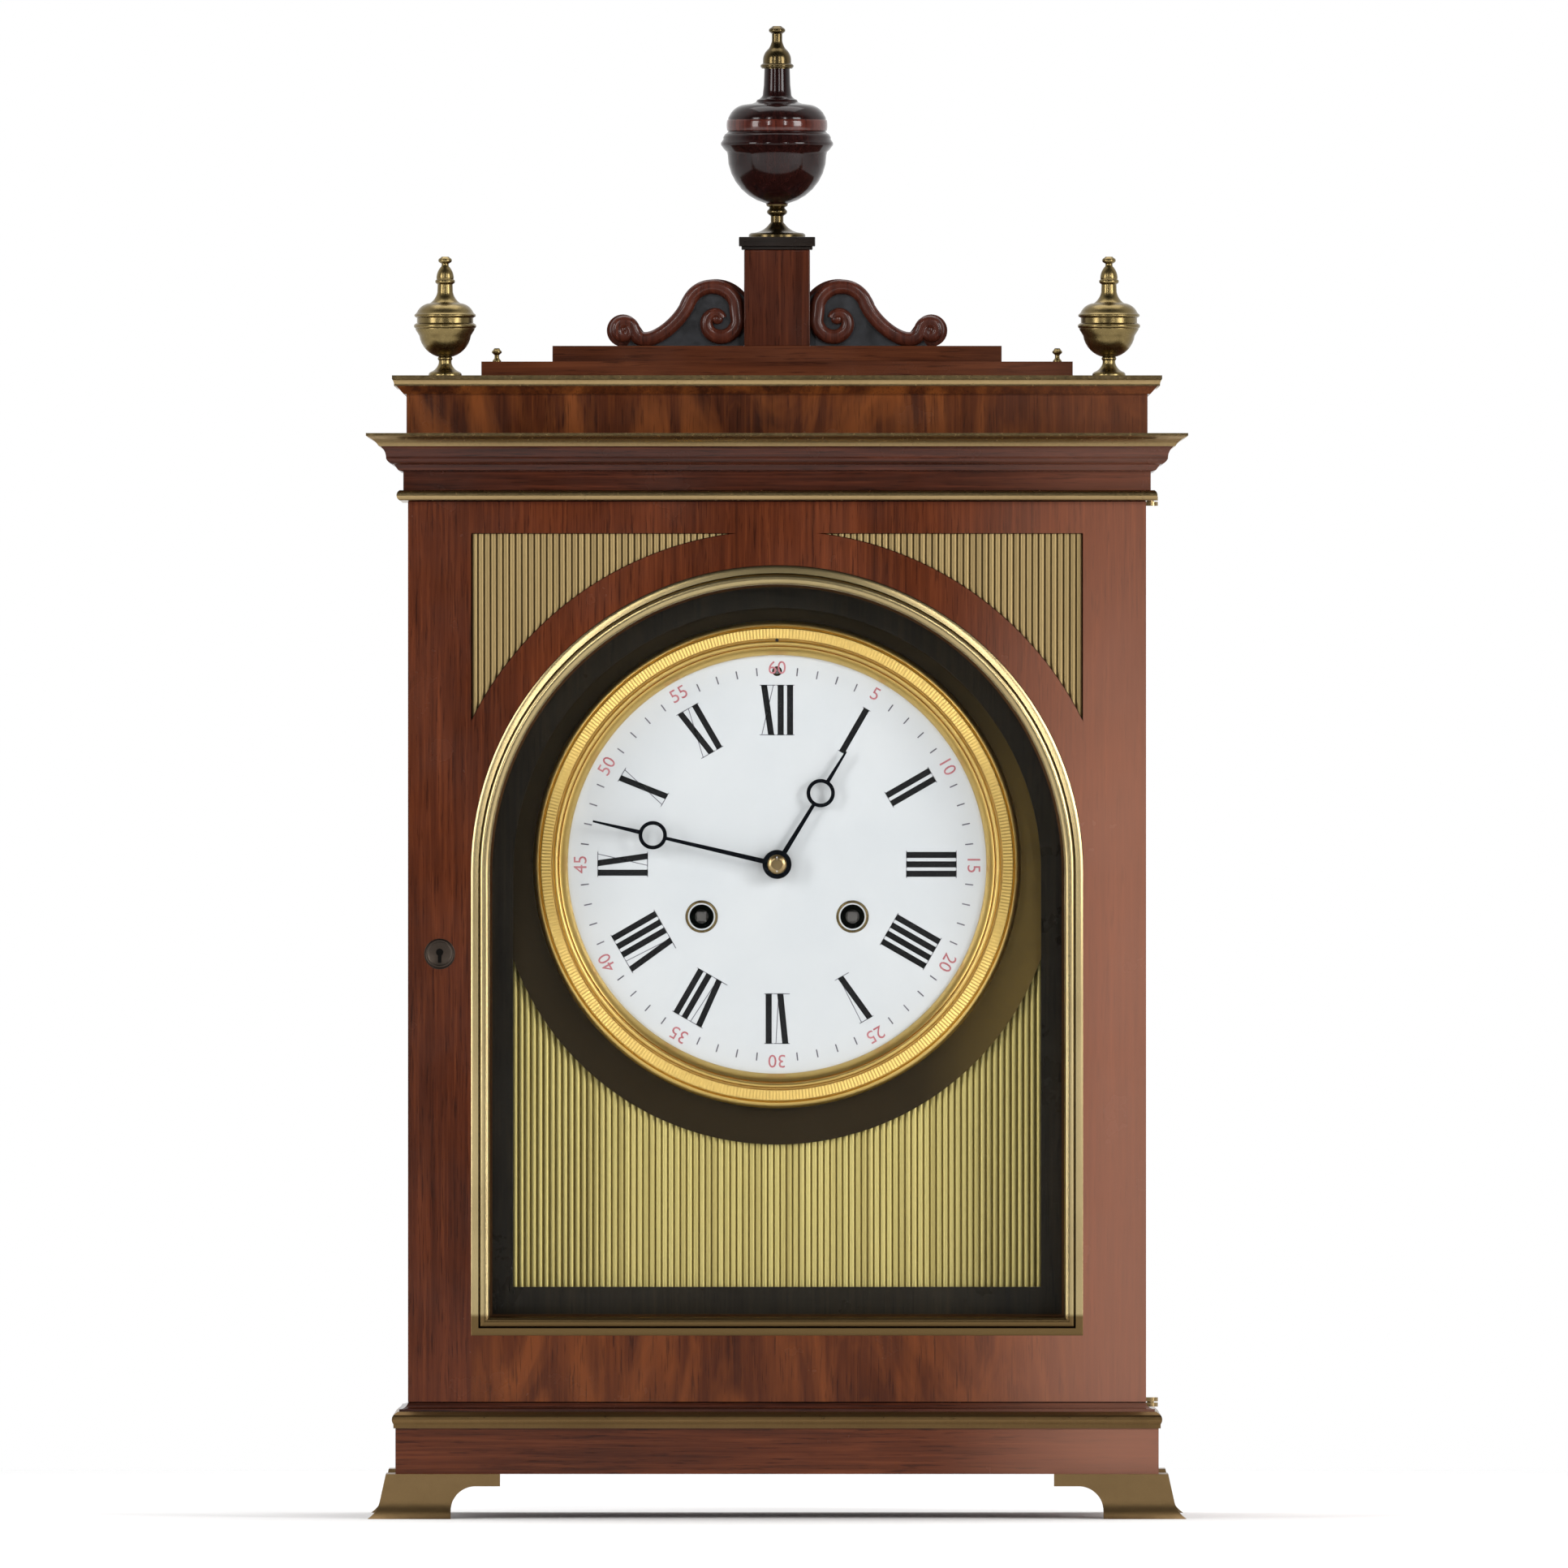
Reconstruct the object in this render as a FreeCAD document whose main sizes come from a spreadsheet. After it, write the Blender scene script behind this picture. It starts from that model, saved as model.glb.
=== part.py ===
import FreeCAD, Part
import math
import os
import Sketcher

# Bracket clock, millimetres. +Z is up, the dial faces -Y and +X is to the right of a person
# who reads the dial. The origin lies on the ground, under the middle of the clock.

SIZES = {
    # case, from the ground up
    "body_width": 254.0, "body_depth": 160.0, "body_height": 310.6, "panel_thickness": 12.0,
    "foot_height": 15.4, "foot_length": 45.5, "foot_base_length": 28.5, "foot_flare": 13.8,
    "foot_neck": 7.6, "foot_waist": 9.6, "foot_waist_height": 6.3, "foot_wall": 6.0,
    "foot_tongue": 4.2, "foot_toe": 2.2, "foot_tongue_length": 9.0,
    "plinth_height": 15.7, "plinth_projection": 4.3,
    "base_brass_height": 5.7, "base_brass_projection": 5.0,
    "base_fillet_height": 3.0, "base_fillet_projection": 3.0,
    "frieze_bead_height": 3.5, "frieze_bead_projection": 3.6,
    "cornice_height": 15.1, "cornice_projection": 9.5, "frieze_projection": 1.6,
    "fillet_height": 4.5, "fillet_projection": 14.4,
    "attic_height": 13.5, "attic_projection": 0.5, "attic_fillet_height": 2.8,
    "attic_fillet_projection": 4.0, "attic_brass_height": 3.6, "attic_brass_projection": 5.5,
    "lower_step_inset": 25.1, "lower_step_height": 5.0,
    "upper_step_inset": 49.5, "upper_step_height": 5.6,
    "die_width": 22.8, "die_height": 33.4, "cap_width": 26.4, "cap_height": 4.4,
    # scroll brackets beside the pedestal
    "scroll_reach": 41.9, "scroll_thickness": 16.0, "volute_radius": 5.6, "scroll_band": 5.0,
    "hump_rise": 11.5, "hump_seat_rise": 19.0, "scroll_valley_rise": 5.0, "scroll_relief": 3.0,
    # turned ornaments
    "finial_inset": 12.7, "finial_radius": 11.1, "finial_height": 41.0,
    "knob_inset": 5.3, "knob_radius": 1.7, "knob_height": 4.6,
    "urn_radius": 19.7, "urn_foot_height": 11.4, "urn_bowl_height": 29.2,
    "urn_lid_height": 17.7, "urn_tip_height": 14.7,
    # front door
    "door_thickness": 16.0, "door_gap": 0.4, "door_back_gap": 0.5, "stile_width": 21.7,
    "door_rail_height": 23.2, "door_head_height": 10.9, "arch_lap": 0.8,
    "arch_band": 12.0, "sash_width": 7.3, "sash_slope": 3.3, "sash_slope_rise": 1.1,
    "sash_bead": 3.1, "sash_fit": 0.2,
    "sash_depth": 9.0, "glass_thickness": 2.0, "glass_edge": 2.0,
    "reed_pitch": 2.4, "reed_height": 0.9, "reed_sheet": 1.0, "reed_setback": 1.0,
    "pivot_radius": 1.2, "pivot_fit": 0.06, "hinge_proud": 1.6, "hinge_half_width": 2.6,
    "hinge_length": 22.0, "hinge_plate": 1.4, "hinge_inset": 3.0,
    "lock_height": 30.0, "lock_rise": 139.5, "lock_width": 17.0, "lock_depth": 10.0,
    "lock_wall": 1.2, "keyhole_inset": 10.9, "escutcheon_radius": 5.3,
    "escutcheon_thickness": 0.6, "keyhole_radius": 1.1, "keyhole_drop": 3.0,
    "bolt_length": 8.0, "bolt_section": 3.0, "bolt_fit": 0.4,
    "staple_thickness": 1.5,
    # mask, dial and hands
    "mask_setback": 25.0, "mask_thickness": 6.0, "mask_gap": 6.9, "mask_sill": 39.7,
    "dial_lift": 2.5, "surround_lap": 5.6, "surround_thickness": 2.0,
    "surround_hole": 62.0, "bezel_radius": 84.1, "bezel_width": 12.0, "bezel_depth": 9.0,
    "bezel_fit": 0.3, "dial_lap": 1.9, "dial_thickness": 1.5, "dial_hole": 5.0,
    "winding_offset": 26.0, "winding_drop": 18.0, "grommet_radius": 5.6, "grommet_hole": 4.2,
    "grommet_thickness": 0.6, "regulator_inset": 5.5, "regulator_radius": 0.9,
    "regulator_hole": 1.7, "hand_thickness": 0.8, "hand_shaft": 1.4,
    "hand_ring_radius": 4.9, "hand_ring_bore": 3.6, "hand_boss_radius": 5.0,
    "hour_ring_reach": 28.8, "hour_tip_reach": 45.6, "hour_hand_setback": 26.2,
    "minute_ring_reach": 44.0, "minute_tip_reach": 65.2, "minute_hand_setback": 23.6,
    "hour_hand_angle": 31.5, "minute_hand_angle": 283.2,
    "collet_radius": 3.4, "collet_height": 1.6,
    # movement
    "front_plate_setback": 43.0, "plate_radius": 52.0, "plate_seat_drop": 50.0,
    "plate_thickness": 2.5, "pillar_length": 35.0, "pillar_radius": 3.0, "pillar_ring": 46.0,
    "arbor_gap": 0.3, "arbor_radius": 1.0, "centre_arbor_radius": 1.5,
    "hour_pipe_radius": 3.4, "running_clearance": 0.3,
    "barrel_radius": 16.0, "barrel_length": 18.0, "barrel_offset": 4.5,
    "winding_arbor_radius": 2.4, "winding_square": 3.2, "wheel_thickness": 2.0,
    "second_offset": 15.9, "second_rise": 5.5, "third_offset": -3.4, "third_rise": 16.5,
    "escape_rise": 28.5, "escape_radius": 8.4, "third_wheel_setback": 14.0,
    "anchor_rise": 42.0, "anchor_arm": 1.8, "pallet_length": 3.0, "pallet_width": 1.4,
    "crutch_fork": 1.2, "motion_offset": 12.0,
    "pendulum_setback": 93.5, "pendulum_reach": 141.0, "bob_radius": 19.0,
    "bob_thickness": 8.0, "bob_edge": 1.2, "bob_face": 1.5, "rod_radius": 1.2, "rod_tail": 8.0,
    "bell_post_gap": 16, "hammer_rise": 18, "arbor_tip": 1.0, "scroll_eye_inset": 2.0,
    "rating_nut_height": 3.0, "spring_thickness": 0.4, "bell_radius": 28.0, "bell_wall": 1.5,
    "bell_setback": 104.0, "bell_depth": 21.0, "bell_rise": 8.0, "seatboard_thickness": 10.0,
    # back door
    "back_recess": 4.0, "back_door_thickness": 12.0, "back_door_gap": 1.0,
    "back_frame_width": 26.0, "back_leaf": 1.0, "back_leaf_width": 9.0, "back_barrel": 1.4,
    "back_pin": 0.6, "back_hinge_height": 36.0, "back_hinge_inset": 30.0,
}

doc = FreeCAD.newDocument("bracket_clock")
sheet = doc.addObject("Spreadsheet::Sheet", "sizes")
for row, (alias, size) in enumerate(SIZES.items(), start=1):
    sheet.set("A%d" % row, alias)
    sheet.set("B%d" % row, str(size))
    sheet.setAlias("B%d" % row, alias)
doc.recompute()


class Size:
    """A number together with the formula of sheet cells that gives it."""

    def __init__(self, value, formula):
        self.value = value
        self.formula = formula

    def __add__(self, other):
        other = as_size(other)
        return Size(self.value + other.value, "(%s + %s)" % (self.formula, other.formula))

    def __sub__(self, other):
        other = as_size(other)
        return Size(self.value - other.value, "(%s - %s)" % (self.formula, other.formula))

    def __mul__(self, other):
        other = as_size(other)
        return Size(self.value * other.value, "(%s * %s)" % (self.formula, other.formula))

    def __truediv__(self, other):
        other = as_size(other)
        return Size(self.value / other.value, "(%s / %s)" % (self.formula, other.formula))

    def __radd__(self, other):
        return as_size(other) + self

    def __rsub__(self, other):
        return as_size(other) - self

    def __rmul__(self, other):
        return as_size(other) * self

    def __neg__(self):
        return Size(-self.value, "(-1 * %s)" % self.formula)


def as_size(number):
    if isinstance(number, Size):
        return number
    return Size(float(number), "%.6f" % number)


def root(size):
    return Size(math.sqrt(size.value), "sqrt(%s)" % size.formula)



def cosine(angle):
    angle = as_size(angle)
    return Size(math.cos(math.radians(angle.value)), "cos(%s)" % angle.formula)


def sine(angle):
    angle = as_size(angle)
    return Size(math.sin(math.radians(angle.value)), "sin(%s)" % angle.formula)


class Cells:
    """Every cell of the sheet, as an attribute."""


s = Cells()
for alias in SIZES:
    setattr(s, alias, Size(float(sheet.get(alias)), "sizes." + alias))

# ---------------------------------------------------------------- levels and planes
half_width = s.body_width / 2
front = (s.fillet_projection - s.body_depth) / 2
back = front + s.body_depth
z_plinth = s.foot_height
z_base = z_plinth + s.plinth_height
z_base_fillet = z_base + s.base_brass_height
z_body = z_base_fillet + s.base_fillet_height
z_frieze = z_body + s.body_height
z_cornice = z_frieze + s.frieze_bead_height
z_fillet = z_cornice + s.cornice_height
z_attic = z_fillet + s.fillet_height
z_attic_fillet = z_attic + s.attic_height
z_attic_brass = z_attic_fillet + s.attic_fillet_height
z_top = z_attic_brass + s.attic_brass_height
z_upper_step = z_top + s.lower_step_height
z_die = z_upper_step + s.upper_step_height
z_cap = z_die + s.die_height
z_urn = z_cap + s.cap_height
door_back = front + s.door_thickness
carcass_front = door_back + s.door_back_gap
inner_half = half_width - s.panel_thickness
stile_x = half_width - s.stile_width
arch_outer = stile_x + s.arch_band
door_bottom = z_body + s.door_gap
door_top = z_frieze - s.door_gap
z_spandrel = door_top - s.door_head_height
z_arch = z_spandrel + s.arch_lap - arch_outer
z_dial = z_arch + s.dial_lift
mask_front = front + s.mask_setback
mask_back = mask_front + s.mask_thickness
surround_back = mask_back + s.surround_thickness
dial_front = mask_back - s.dial_thickness
plate_front = front + s.front_plate_setback
train_front = plate_front + s.plate_thickness
train_back = train_front + s.pillar_length
middle_y = (front + back) / 2

NORMAL_SIGN = {"XY_Plane": 1, "XZ_Plane": -1, "YZ_Plane": 1}
nodes = {}


# ---------------------------------------------------------------- ways of making a piece
def bind(thing, **formulas):
    for name, size in formulas.items():
        size = as_size(size)
        path = name.replace("_", ".") if name.startswith(("Placement", "AttachmentOffset")) else name
        thing.setExpression(path, size.formula)


def move(thing, x=0, y=0, z=0):
    bind(thing, Placement_Base_x=x, Placement_Base_y=y, Placement_Base_z=z)
    return thing


def keep(node, thing):
    thing.Label = node
    nodes[node] = thing
    return thing


class Round:
    """A circular arc of a given radius, from its own point to the next one."""

    def __init__(self, radius, turn):
        self.radius = radius
        self.turn = turn


def arc_between(start, end, bend):
    """The arc's radius and its centre; a plain number is the tangent of a quarter of the turn."""
    dx, dz = end[0] - start[0], end[1] - start[1]
    chord = root(dx * dx + dz * dz)
    if isinstance(bend, Round):
        radius = as_size(bend.radius)
        turn, minor = bend.turn, True
    else:
        radius = chord * (1 + bend * bend) / (4 * abs(bend))
        turn, minor = (1 if bend > 0 else -1), abs(bend) <= 1
    half = chord.value / 2
    rise = math.sqrt(max(radius.value ** 2 - half ** 2, 0.0)) * turn * (1 if minor else -1)
    ux, uz = dx.value / chord.value, dz.value / chord.value
    centre = ((start[0].value + end[0].value) / 2 - uz * rise,
              (start[1].value + end[1].value) / 2 + ux * rise)
    return radius, centre, turn


def draw(body, plane, points, level=0, closed=True):
    """A sketch whose corners are bound to formulas; a third entry bends the side that follows."""
    sketch = body.newObject("Sketcher::SketchObject", body.Name + "_outline")
    origin_plane = [item for item in body.Origin.OriginFeatures if item.Role == plane][0]
    sketch.AttachmentSupport = [(origin_plane, "")]
    sketch.MapMode = "FlatFace"
    bind(sketch, AttachmentOffset_Base_z=as_size(level) * NORMAL_SIGN[plane])
    corners = [(as_size(point[0]), as_size(point[1])) for point in points]
    count = len(points)
    ends = []
    for index in range(count if closed else count - 1):
        start, end = corners[index], corners[(index + 1) % count]
        first = FreeCAD.Vector(start[0].value, start[1].value, 0)
        last = FreeCAD.Vector(end[0].value, end[1].value, 0)
        if len(points[index]) < 3:
            side = sketch.addGeometry(Part.LineSegment(first, last))
            ends.append((side, 1, 2))
            continue
        radius, centre, turn = arc_between(start, end, points[index][2])
        from_angle = math.atan2(first.y - centre[1], first.x - centre[0])
        to_angle = math.atan2(last.y - centre[1], last.x - centre[0])
        if turn < 0:
            from_angle, to_angle = to_angle, from_angle
        circle = Part.Circle(FreeCAD.Vector(centre[0], centre[1], 0), FreeCAD.Vector(0, 0, 1),
                             radius.value)
        side = sketch.addGeometry(Part.ArcOfCircle(circle, from_angle, to_angle))
        ends.append((side, 1, 2) if turn > 0 else (side, 2, 1))
        number = sketch.addConstraint(Sketcher.Constraint("Radius", side, radius.value))
        sketch.setExpression("Constraints[%d]" % number, radius.formula)
    for index, (side, start_end, far_end) in enumerate(ends):
        if closed or index + 1 < len(ends):
            following = ends[(index + 1) % len(ends)]
            sketch.addConstraint(Sketcher.Constraint("Coincident", side, far_end,
                                                     following[0], following[1]))
    spots = [(side, start_end) for side, start_end, far_end in ends]
    if not closed:
        spots.append((ends[-1][0], ends[-1][2]))
    for (side, end), (across, up) in zip(spots, corners):
        for kind, size, axis in (("DistanceX", across, -2), ("DistanceY", up, -1)):
            if size.formula == "0.000000":
                sketch.addConstraint(Sketcher.Constraint("PointOnObject", side, end, axis))
                continue
            number = sketch.addConstraint(Sketcher.Constraint(kind, -1, 1, side, end, size.value))
            sketch.setExpression("Constraints[%d]" % number, size.formula)
    return sketch


def prism(name, plane, points, level, length):
    """A flat outline given a thickness, from level along the plane's positive axis."""
    body = doc.addObject("PartDesign::Body", name)
    pad = body.newObject("PartDesign::Pad", name + "_pad")
    pad.Profile = draw(body, plane, points, level)
    pad.Reversed = NORMAL_SIGN[plane] < 0
    bind(pad, Length=length)
    return body


def turned(name, points, lying=False):
    """A lathe-turned piece from its half profile: (radius, height), or (depth, radius) lying."""
    body = doc.addObject("PartDesign::Body", name)
    sketch = draw(body, "YZ_Plane" if lying else "XZ_Plane", points)
    turning = body.newObject("PartDesign::Revolution", name + "_turning")
    turning.Profile = sketch
    turning.ReferenceAxis = (sketch, ["H_Axis" if lying else "V_Axis"])
    turning.Angle = 360
    return body


def ring_moulding(name, half, section):
    """A moulding mitred round the front and both sides; section is (projection, height)."""
    body = doc.addObject("PartDesign::Body", name)
    face = front + half_width - half
    path = draw(body, "XY_Plane", [(-half, back), (-half, face), (half, face), (half, back)],
                section[0][1], closed=False)
    outline = [(-half - point[0], point[1]) + tuple(-bend for bend in point[2:]) for point in section]
    pipe = body.newObject("PartDesign::AdditivePipe", name + "_run")
    pipe.Profile = draw(body, "XZ_Plane", outline, back)
    pipe.Spine = (path, ["Edge1", "Edge2", "Edge3"])
    pipe.Transition = "Right corner"
    return body


def block(name, low, high):
    box = doc.addObject("Part::Box", name)
    bind(box, Length=as_size(high[0]) - low[0], Width=as_size(high[1]) - low[1],
         Height=as_size(high[2]) - low[2])
    return move(box, *low)


def rod(name, radius, start, end_y):
    """A cylinder along Y, from start to the depth end_y."""
    cylinder = doc.addObject("Part::Cylinder", name)
    cylinder.Placement.Rotation = FreeCAD.Rotation(FreeCAD.Vector(1, 0, 0), -90)
    bind(cylinder, Radius=radius, Height=as_size(end_y) - start[1])
    return move(cylinder, *start)


def post(name, radius, start, height):
    cylinder = doc.addObject("Part::Cylinder", name)
    bind(cylinder, Radius=radius, Height=height)
    return move(cylinder, *start)


def cut(name, base, *tools):
    for number, tool in enumerate(tools):
        result = doc.addObject("Part::Cut", "%s_cut%d" % (name, number))
        result.Base, result.Tool = base, tool
        base = result
    return base


def fuse(name, *shapes):
    result = doc.addObject("Part::MultiFuse", name + "_fuse")
    result.Shapes = list(shapes)
    return result


def common(name, one, other):
    result = doc.addObject("Part::MultiCommon", name + "_common")
    result.Shapes = [one, other]
    return result


def group(name, *pieces):
    result = doc.addObject("Part::Compound", name + "_group")
    result.Links = list(pieces)
    return result


def mirrored(name, source, normal=(1, 0, 0), at=0):
    result = doc.addObject("Part::Mirroring", name + "_mirror")
    result.Source = source
    result.Normal = FreeCAD.Vector(*normal)
    if normal[1]:
        result.setExpression("Base.y", as_size(at).formula)
    return result


def both_sides(name, piece):
    return group(name, piece, mirrored(name, piece))


# ---------------------------------------------------------------- feet, plinth and base
def foot_outline(place, bend):
    """The ogee bracket seen from one side; place turns a reach outward into a coordinate."""
    tip = s.foot_flare - s.foot_length
    heel = s.foot_flare - s.foot_base_length
    return [
        (place(tip), z_plinth - s.foot_tongue),
        (place(tip + s.foot_tongue_length), z_plinth - s.foot_tongue, -0.41 * bend),
        (place(heel), s.foot_toe),
        (place(heel), 0),
        (place(s.foot_flare), 0, -0.2 * bend),
        (place(s.foot_waist), s.foot_waist_height),
        (place(s.foot_neck), z_plinth),
        (place(tip), z_plinth),
    ]


foot_front = front - s.foot_flare
foot_span = s.foot_length + s.foot_flare
from_front = prism("foot_front_view", "XZ_Plane", foot_outline(lambda out: half_width + out, 1),
                   foot_front, foot_span)
from_side = prism("foot_side_view", "YZ_Plane", foot_outline(lambda out: front - out, -1),
                  half_width + s.foot_flare - foot_span, foot_span)
foot_inside = block("foot_inside",
                    (half_width + s.foot_flare - foot_span, front - s.foot_neck + s.foot_wall, 0),
                    (half_width + s.foot_neck - s.foot_wall, front + s.foot_length, z_plinth))
front_foot = cut("front_foot", common("foot_corner", from_front, from_side), foot_inside)
behind_back = block("behind_back", (0, back, 0), (half_width * 2, back + foot_span, z_plinth))
rear_foot = cut("rear_foot", mirrored("foot_to_rear", front_foot, (0, 1, 0), middle_y), behind_back)
keep("bracket_feet", group("feet", front_foot, rear_foot, mirrored("front_foot", front_foot),
                           mirrored("rear_foot", rear_foot)))

plinth_half = half_width + s.plinth_projection
keep("plinth_board", block("plinth", (-plinth_half, front - s.plinth_projection, z_plinth),
                           (plinth_half, back, z_base)))
keep("base_brass_moulding", ring_moulding("base_brass", half_width, [
    (0, z_base),
    (s.base_brass_projection, z_base),
    (s.base_brass_projection, z_base + s.base_brass_height * 0.25, 0.35),
    (s.base_brass_projection, z_base + s.base_brass_height * 0.8),
    (s.base_fillet_projection + 0.6, z_base_fillet),
    (0, z_base_fillet),
]))
base_core = block("base_core", (-half_width, front, z_base), (half_width, back, z_body))
base_cavetto = ring_moulding("base_cavetto", half_width, [
    (0, z_base_fillet),
    (s.base_fillet_projection, z_base_fillet),
    (s.base_fillet_projection, z_base_fillet + s.base_fillet_height * 0.3, -0.35),
    (0, z_body),
])

# ---------------------------------------------------------------- front door pivots
pivot_x = half_width + s.hinge_proud
pivot_y = door_back - s.hinge_inset


def hinge_plate(name, low_z, spread=0):
    """A flat plate let into the wood, with a round end that stands proud of the side."""
    half = s.hinge_half_width + spread
    arm = block(name + "_arm", (pivot_x - s.hinge_length - spread, pivot_y - half, low_z),
                (pivot_x, pivot_y + half, low_z + s.hinge_plate))
    return fuse(name, arm, post(name + "_end", half, (pivot_x, pivot_y, low_z), s.hinge_plate))


case_low, case_high = z_body - s.hinge_plate, z_frieze
door_low, door_high = door_bottom, door_top - s.hinge_plate
pin_length = s.hinge_plate * 2 + s.door_gap
lower_case_plate = fuse("lower_case_hinge", hinge_plate("lower_case_plate", case_low),
                        post("lower_pivot", s.pivot_radius, (pivot_x, pivot_y, case_low), pin_length))
upper_case_plate = fuse("upper_case_hinge", hinge_plate("upper_case_plate", case_high),
                        post("upper_pivot", s.pivot_radius, (pivot_x, pivot_y, door_high), pin_length))
keep("door_hinge_case_plates", group("case_hinges", lower_case_plate, upper_case_plate))
door_plates = []
for name, low_z in (("lower_door_plate", door_low), ("upper_door_plate", door_high)):
    pivot_bore = post(name + "_bore", s.pivot_radius + s.pivot_fit, (pivot_x, pivot_y, low_z),
                      s.hinge_plate)
    door_plates.append(cut(name + "_drilled", hinge_plate(name, low_z), pivot_bore))
keep("door_hinge_door_plates", group("door_hinges", *door_plates))


def housing(name, low_z):
    """The shallow housing that a hinge plate is let into."""
    return hinge_plate(name, low_z, spread=s.pivot_fit)


keep("base_board", cut("base_housed", fuse("base", base_core, base_cavetto),
                       housing("base_housing", case_low)))

# ---------------------------------------------------------------- case sides and top
side = block("right_side", (inner_half, carcass_front, z_body), (half_width, back, z_frieze))
keep("side_panels", both_sides("sides", side))
frieze = block("frieze", (-half_width, front, z_frieze), (half_width, back, z_attic))
keep("frieze_block", cut("frieze_housed", frieze, housing("frieze_housing", case_high)))
bead_section = [
    (0, z_frieze),
    (s.frieze_bead_projection * 0.8, z_frieze, 0.6),
    (s.frieze_bead_projection * 0.8, z_cornice),
    (0, z_cornice),
]
keep("frieze_brass_bead", cut("bead_housed", ring_moulding("frieze_bead", half_width, bead_section),
                              housing("bead_housing", case_high)))
band_height = s.cornice_height * 0.42
keep("cornice_moulding", ring_moulding("cornice", half_width, [
    (0, z_cornice),
    (s.frieze_projection, z_cornice),
    (s.frieze_projection, z_cornice + band_height),
    (s.frieze_projection + s.cornice_projection * 0.19, z_cornice + s.cornice_height * 0.46),
    (s.frieze_projection + s.cornice_projection * 0.33, z_cornice + s.cornice_height * 0.58, 0.25),
    (s.cornice_projection * 0.79, z_fillet - s.cornice_height * 0.28, -0.25),
    (s.cornice_projection, z_fillet),
    (0, z_fillet),
]))
keep("cornice_brass_fillet", ring_moulding("cornice_fillet", half_width, [
    (0, z_fillet),
    (s.cornice_projection * 1.05, z_fillet, -0.15),
    (s.fillet_projection * 0.95, z_attic - s.fillet_height * 0.3),
    (s.fillet_projection, z_attic - s.fillet_height * 0.2),
    (s.fillet_projection, z_attic),
    (0, z_attic),
]))
attic_half = half_width + s.attic_projection
attic_front = front - s.attic_projection
attic_core = block("attic_core", (-attic_half, attic_front, z_attic), (attic_half, back, z_top))
attic_fillet = ring_moulding("attic_fillet", attic_half, [
    (0, z_attic_fillet),
    (s.attic_fillet_projection * 0.25, z_attic_fillet),
    (s.attic_fillet_projection - s.attic_projection, z_attic_brass),
    (0, z_attic_brass),
])
keep("attic_block", fuse("attic", attic_core, attic_fillet))
keep("attic_brass_moulding", ring_moulding("attic_brass", attic_half, [
    (0, z_attic_brass),
    (s.attic_brass_projection * 0.78, z_attic_brass, -0.2),
    (s.attic_brass_projection - s.attic_projection, z_top - s.attic_brass_height * 0.35),
    (s.attic_brass_projection - s.attic_projection, z_top),
    (0, z_top),
]))


def step(name, inset, low_z, high_z):
    return block(name, (inset - half_width, front + inset, low_z),
                 (half_width - inset, back - inset, high_z))


keep("step_boards", group("steps", step("lower_step", s.lower_step_inset, z_top, z_upper_step),
                          step("upper_step", s.upper_step_inset, z_upper_step, z_die)))


def square_block(name, width, low_z, high_z):
    return block(name, (-width / 2, middle_y - width / 2, low_z),
                 (width / 2, middle_y + width / 2, high_z))


keep("pedestal", group("pedestal_pieces", square_block("die", s.die_width, z_die, z_cap),
                       square_block("cap", s.cap_width, z_cap, z_urn)))

# ---------------------------------------------------------------- scroll brackets
die_side = s.die_width / 2
volute_x = die_side + s.scroll_reach
volute_z = z_die + s.volute_radius
shoulder_x = volute_x - s.volute_radius * 0.87
shoulder_z = volute_z + s.volute_radius * 0.5
valley_x, valley_z = volute_x - s.volute_radius * 1.3, z_die + s.scroll_valley_rise
crest_x, crest_z = die_side + s.scroll_reach * 0.55, z_die + s.hump_rise
scroll_outline = [
    (die_side, z_die),
    (volute_x, z_die, 1.73),
    (shoulder_x, shoulder_z),
    (valley_x, valley_z, -0.25),
    (crest_x, crest_z, 0.65),
    (die_side, z_die + s.hump_seat_rise),
]
scroll_front = middle_y - s.scroll_thickness / 2
scroll_board = prism("scroll_board", "XZ_Plane", scroll_outline, scroll_front, s.scroll_thickness)
ground_outline = [
    (die_side, z_die + s.scroll_band * 0.3),
    (volute_x - s.volute_radius * 1.5, z_die + s.scroll_band * 0.3),
    (valley_x - s.volute_radius * 0.4, valley_z - s.scroll_band * 0.35, -0.22),
    (crest_x - s.scroll_band, crest_z - s.scroll_band * 0.75, 0.6),
    (die_side, z_die + s.hump_seat_rise - s.scroll_band),
]
ground = prism("scroll_ground", "XZ_Plane", ground_outline, scroll_front, s.scroll_relief)
scroll_eye = rod("scroll_eye", s.volute_radius, (
    die_side + s.volute_radius + s.scroll_eye_inset, scroll_front,
    z_die + s.hump_seat_rise / 2), scroll_front + s.scroll_relief)
carved = cut("scroll_carved", scroll_board, cut("scroll_field", ground, scroll_eye))
keep("scroll_brackets", both_sides("scrolls", carved))

# ---------------------------------------------------------------- turned ornaments
def ornament(name, radius, height, shares):
    """A turned piece whose points are shares of its own radius and its own height."""
    def measured(size, share):
        return size * share if share else 0
    return turned(name, [(measured(radius, point[0]), measured(height, point[1])) + point[2:]
                         for point in shares])


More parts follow.
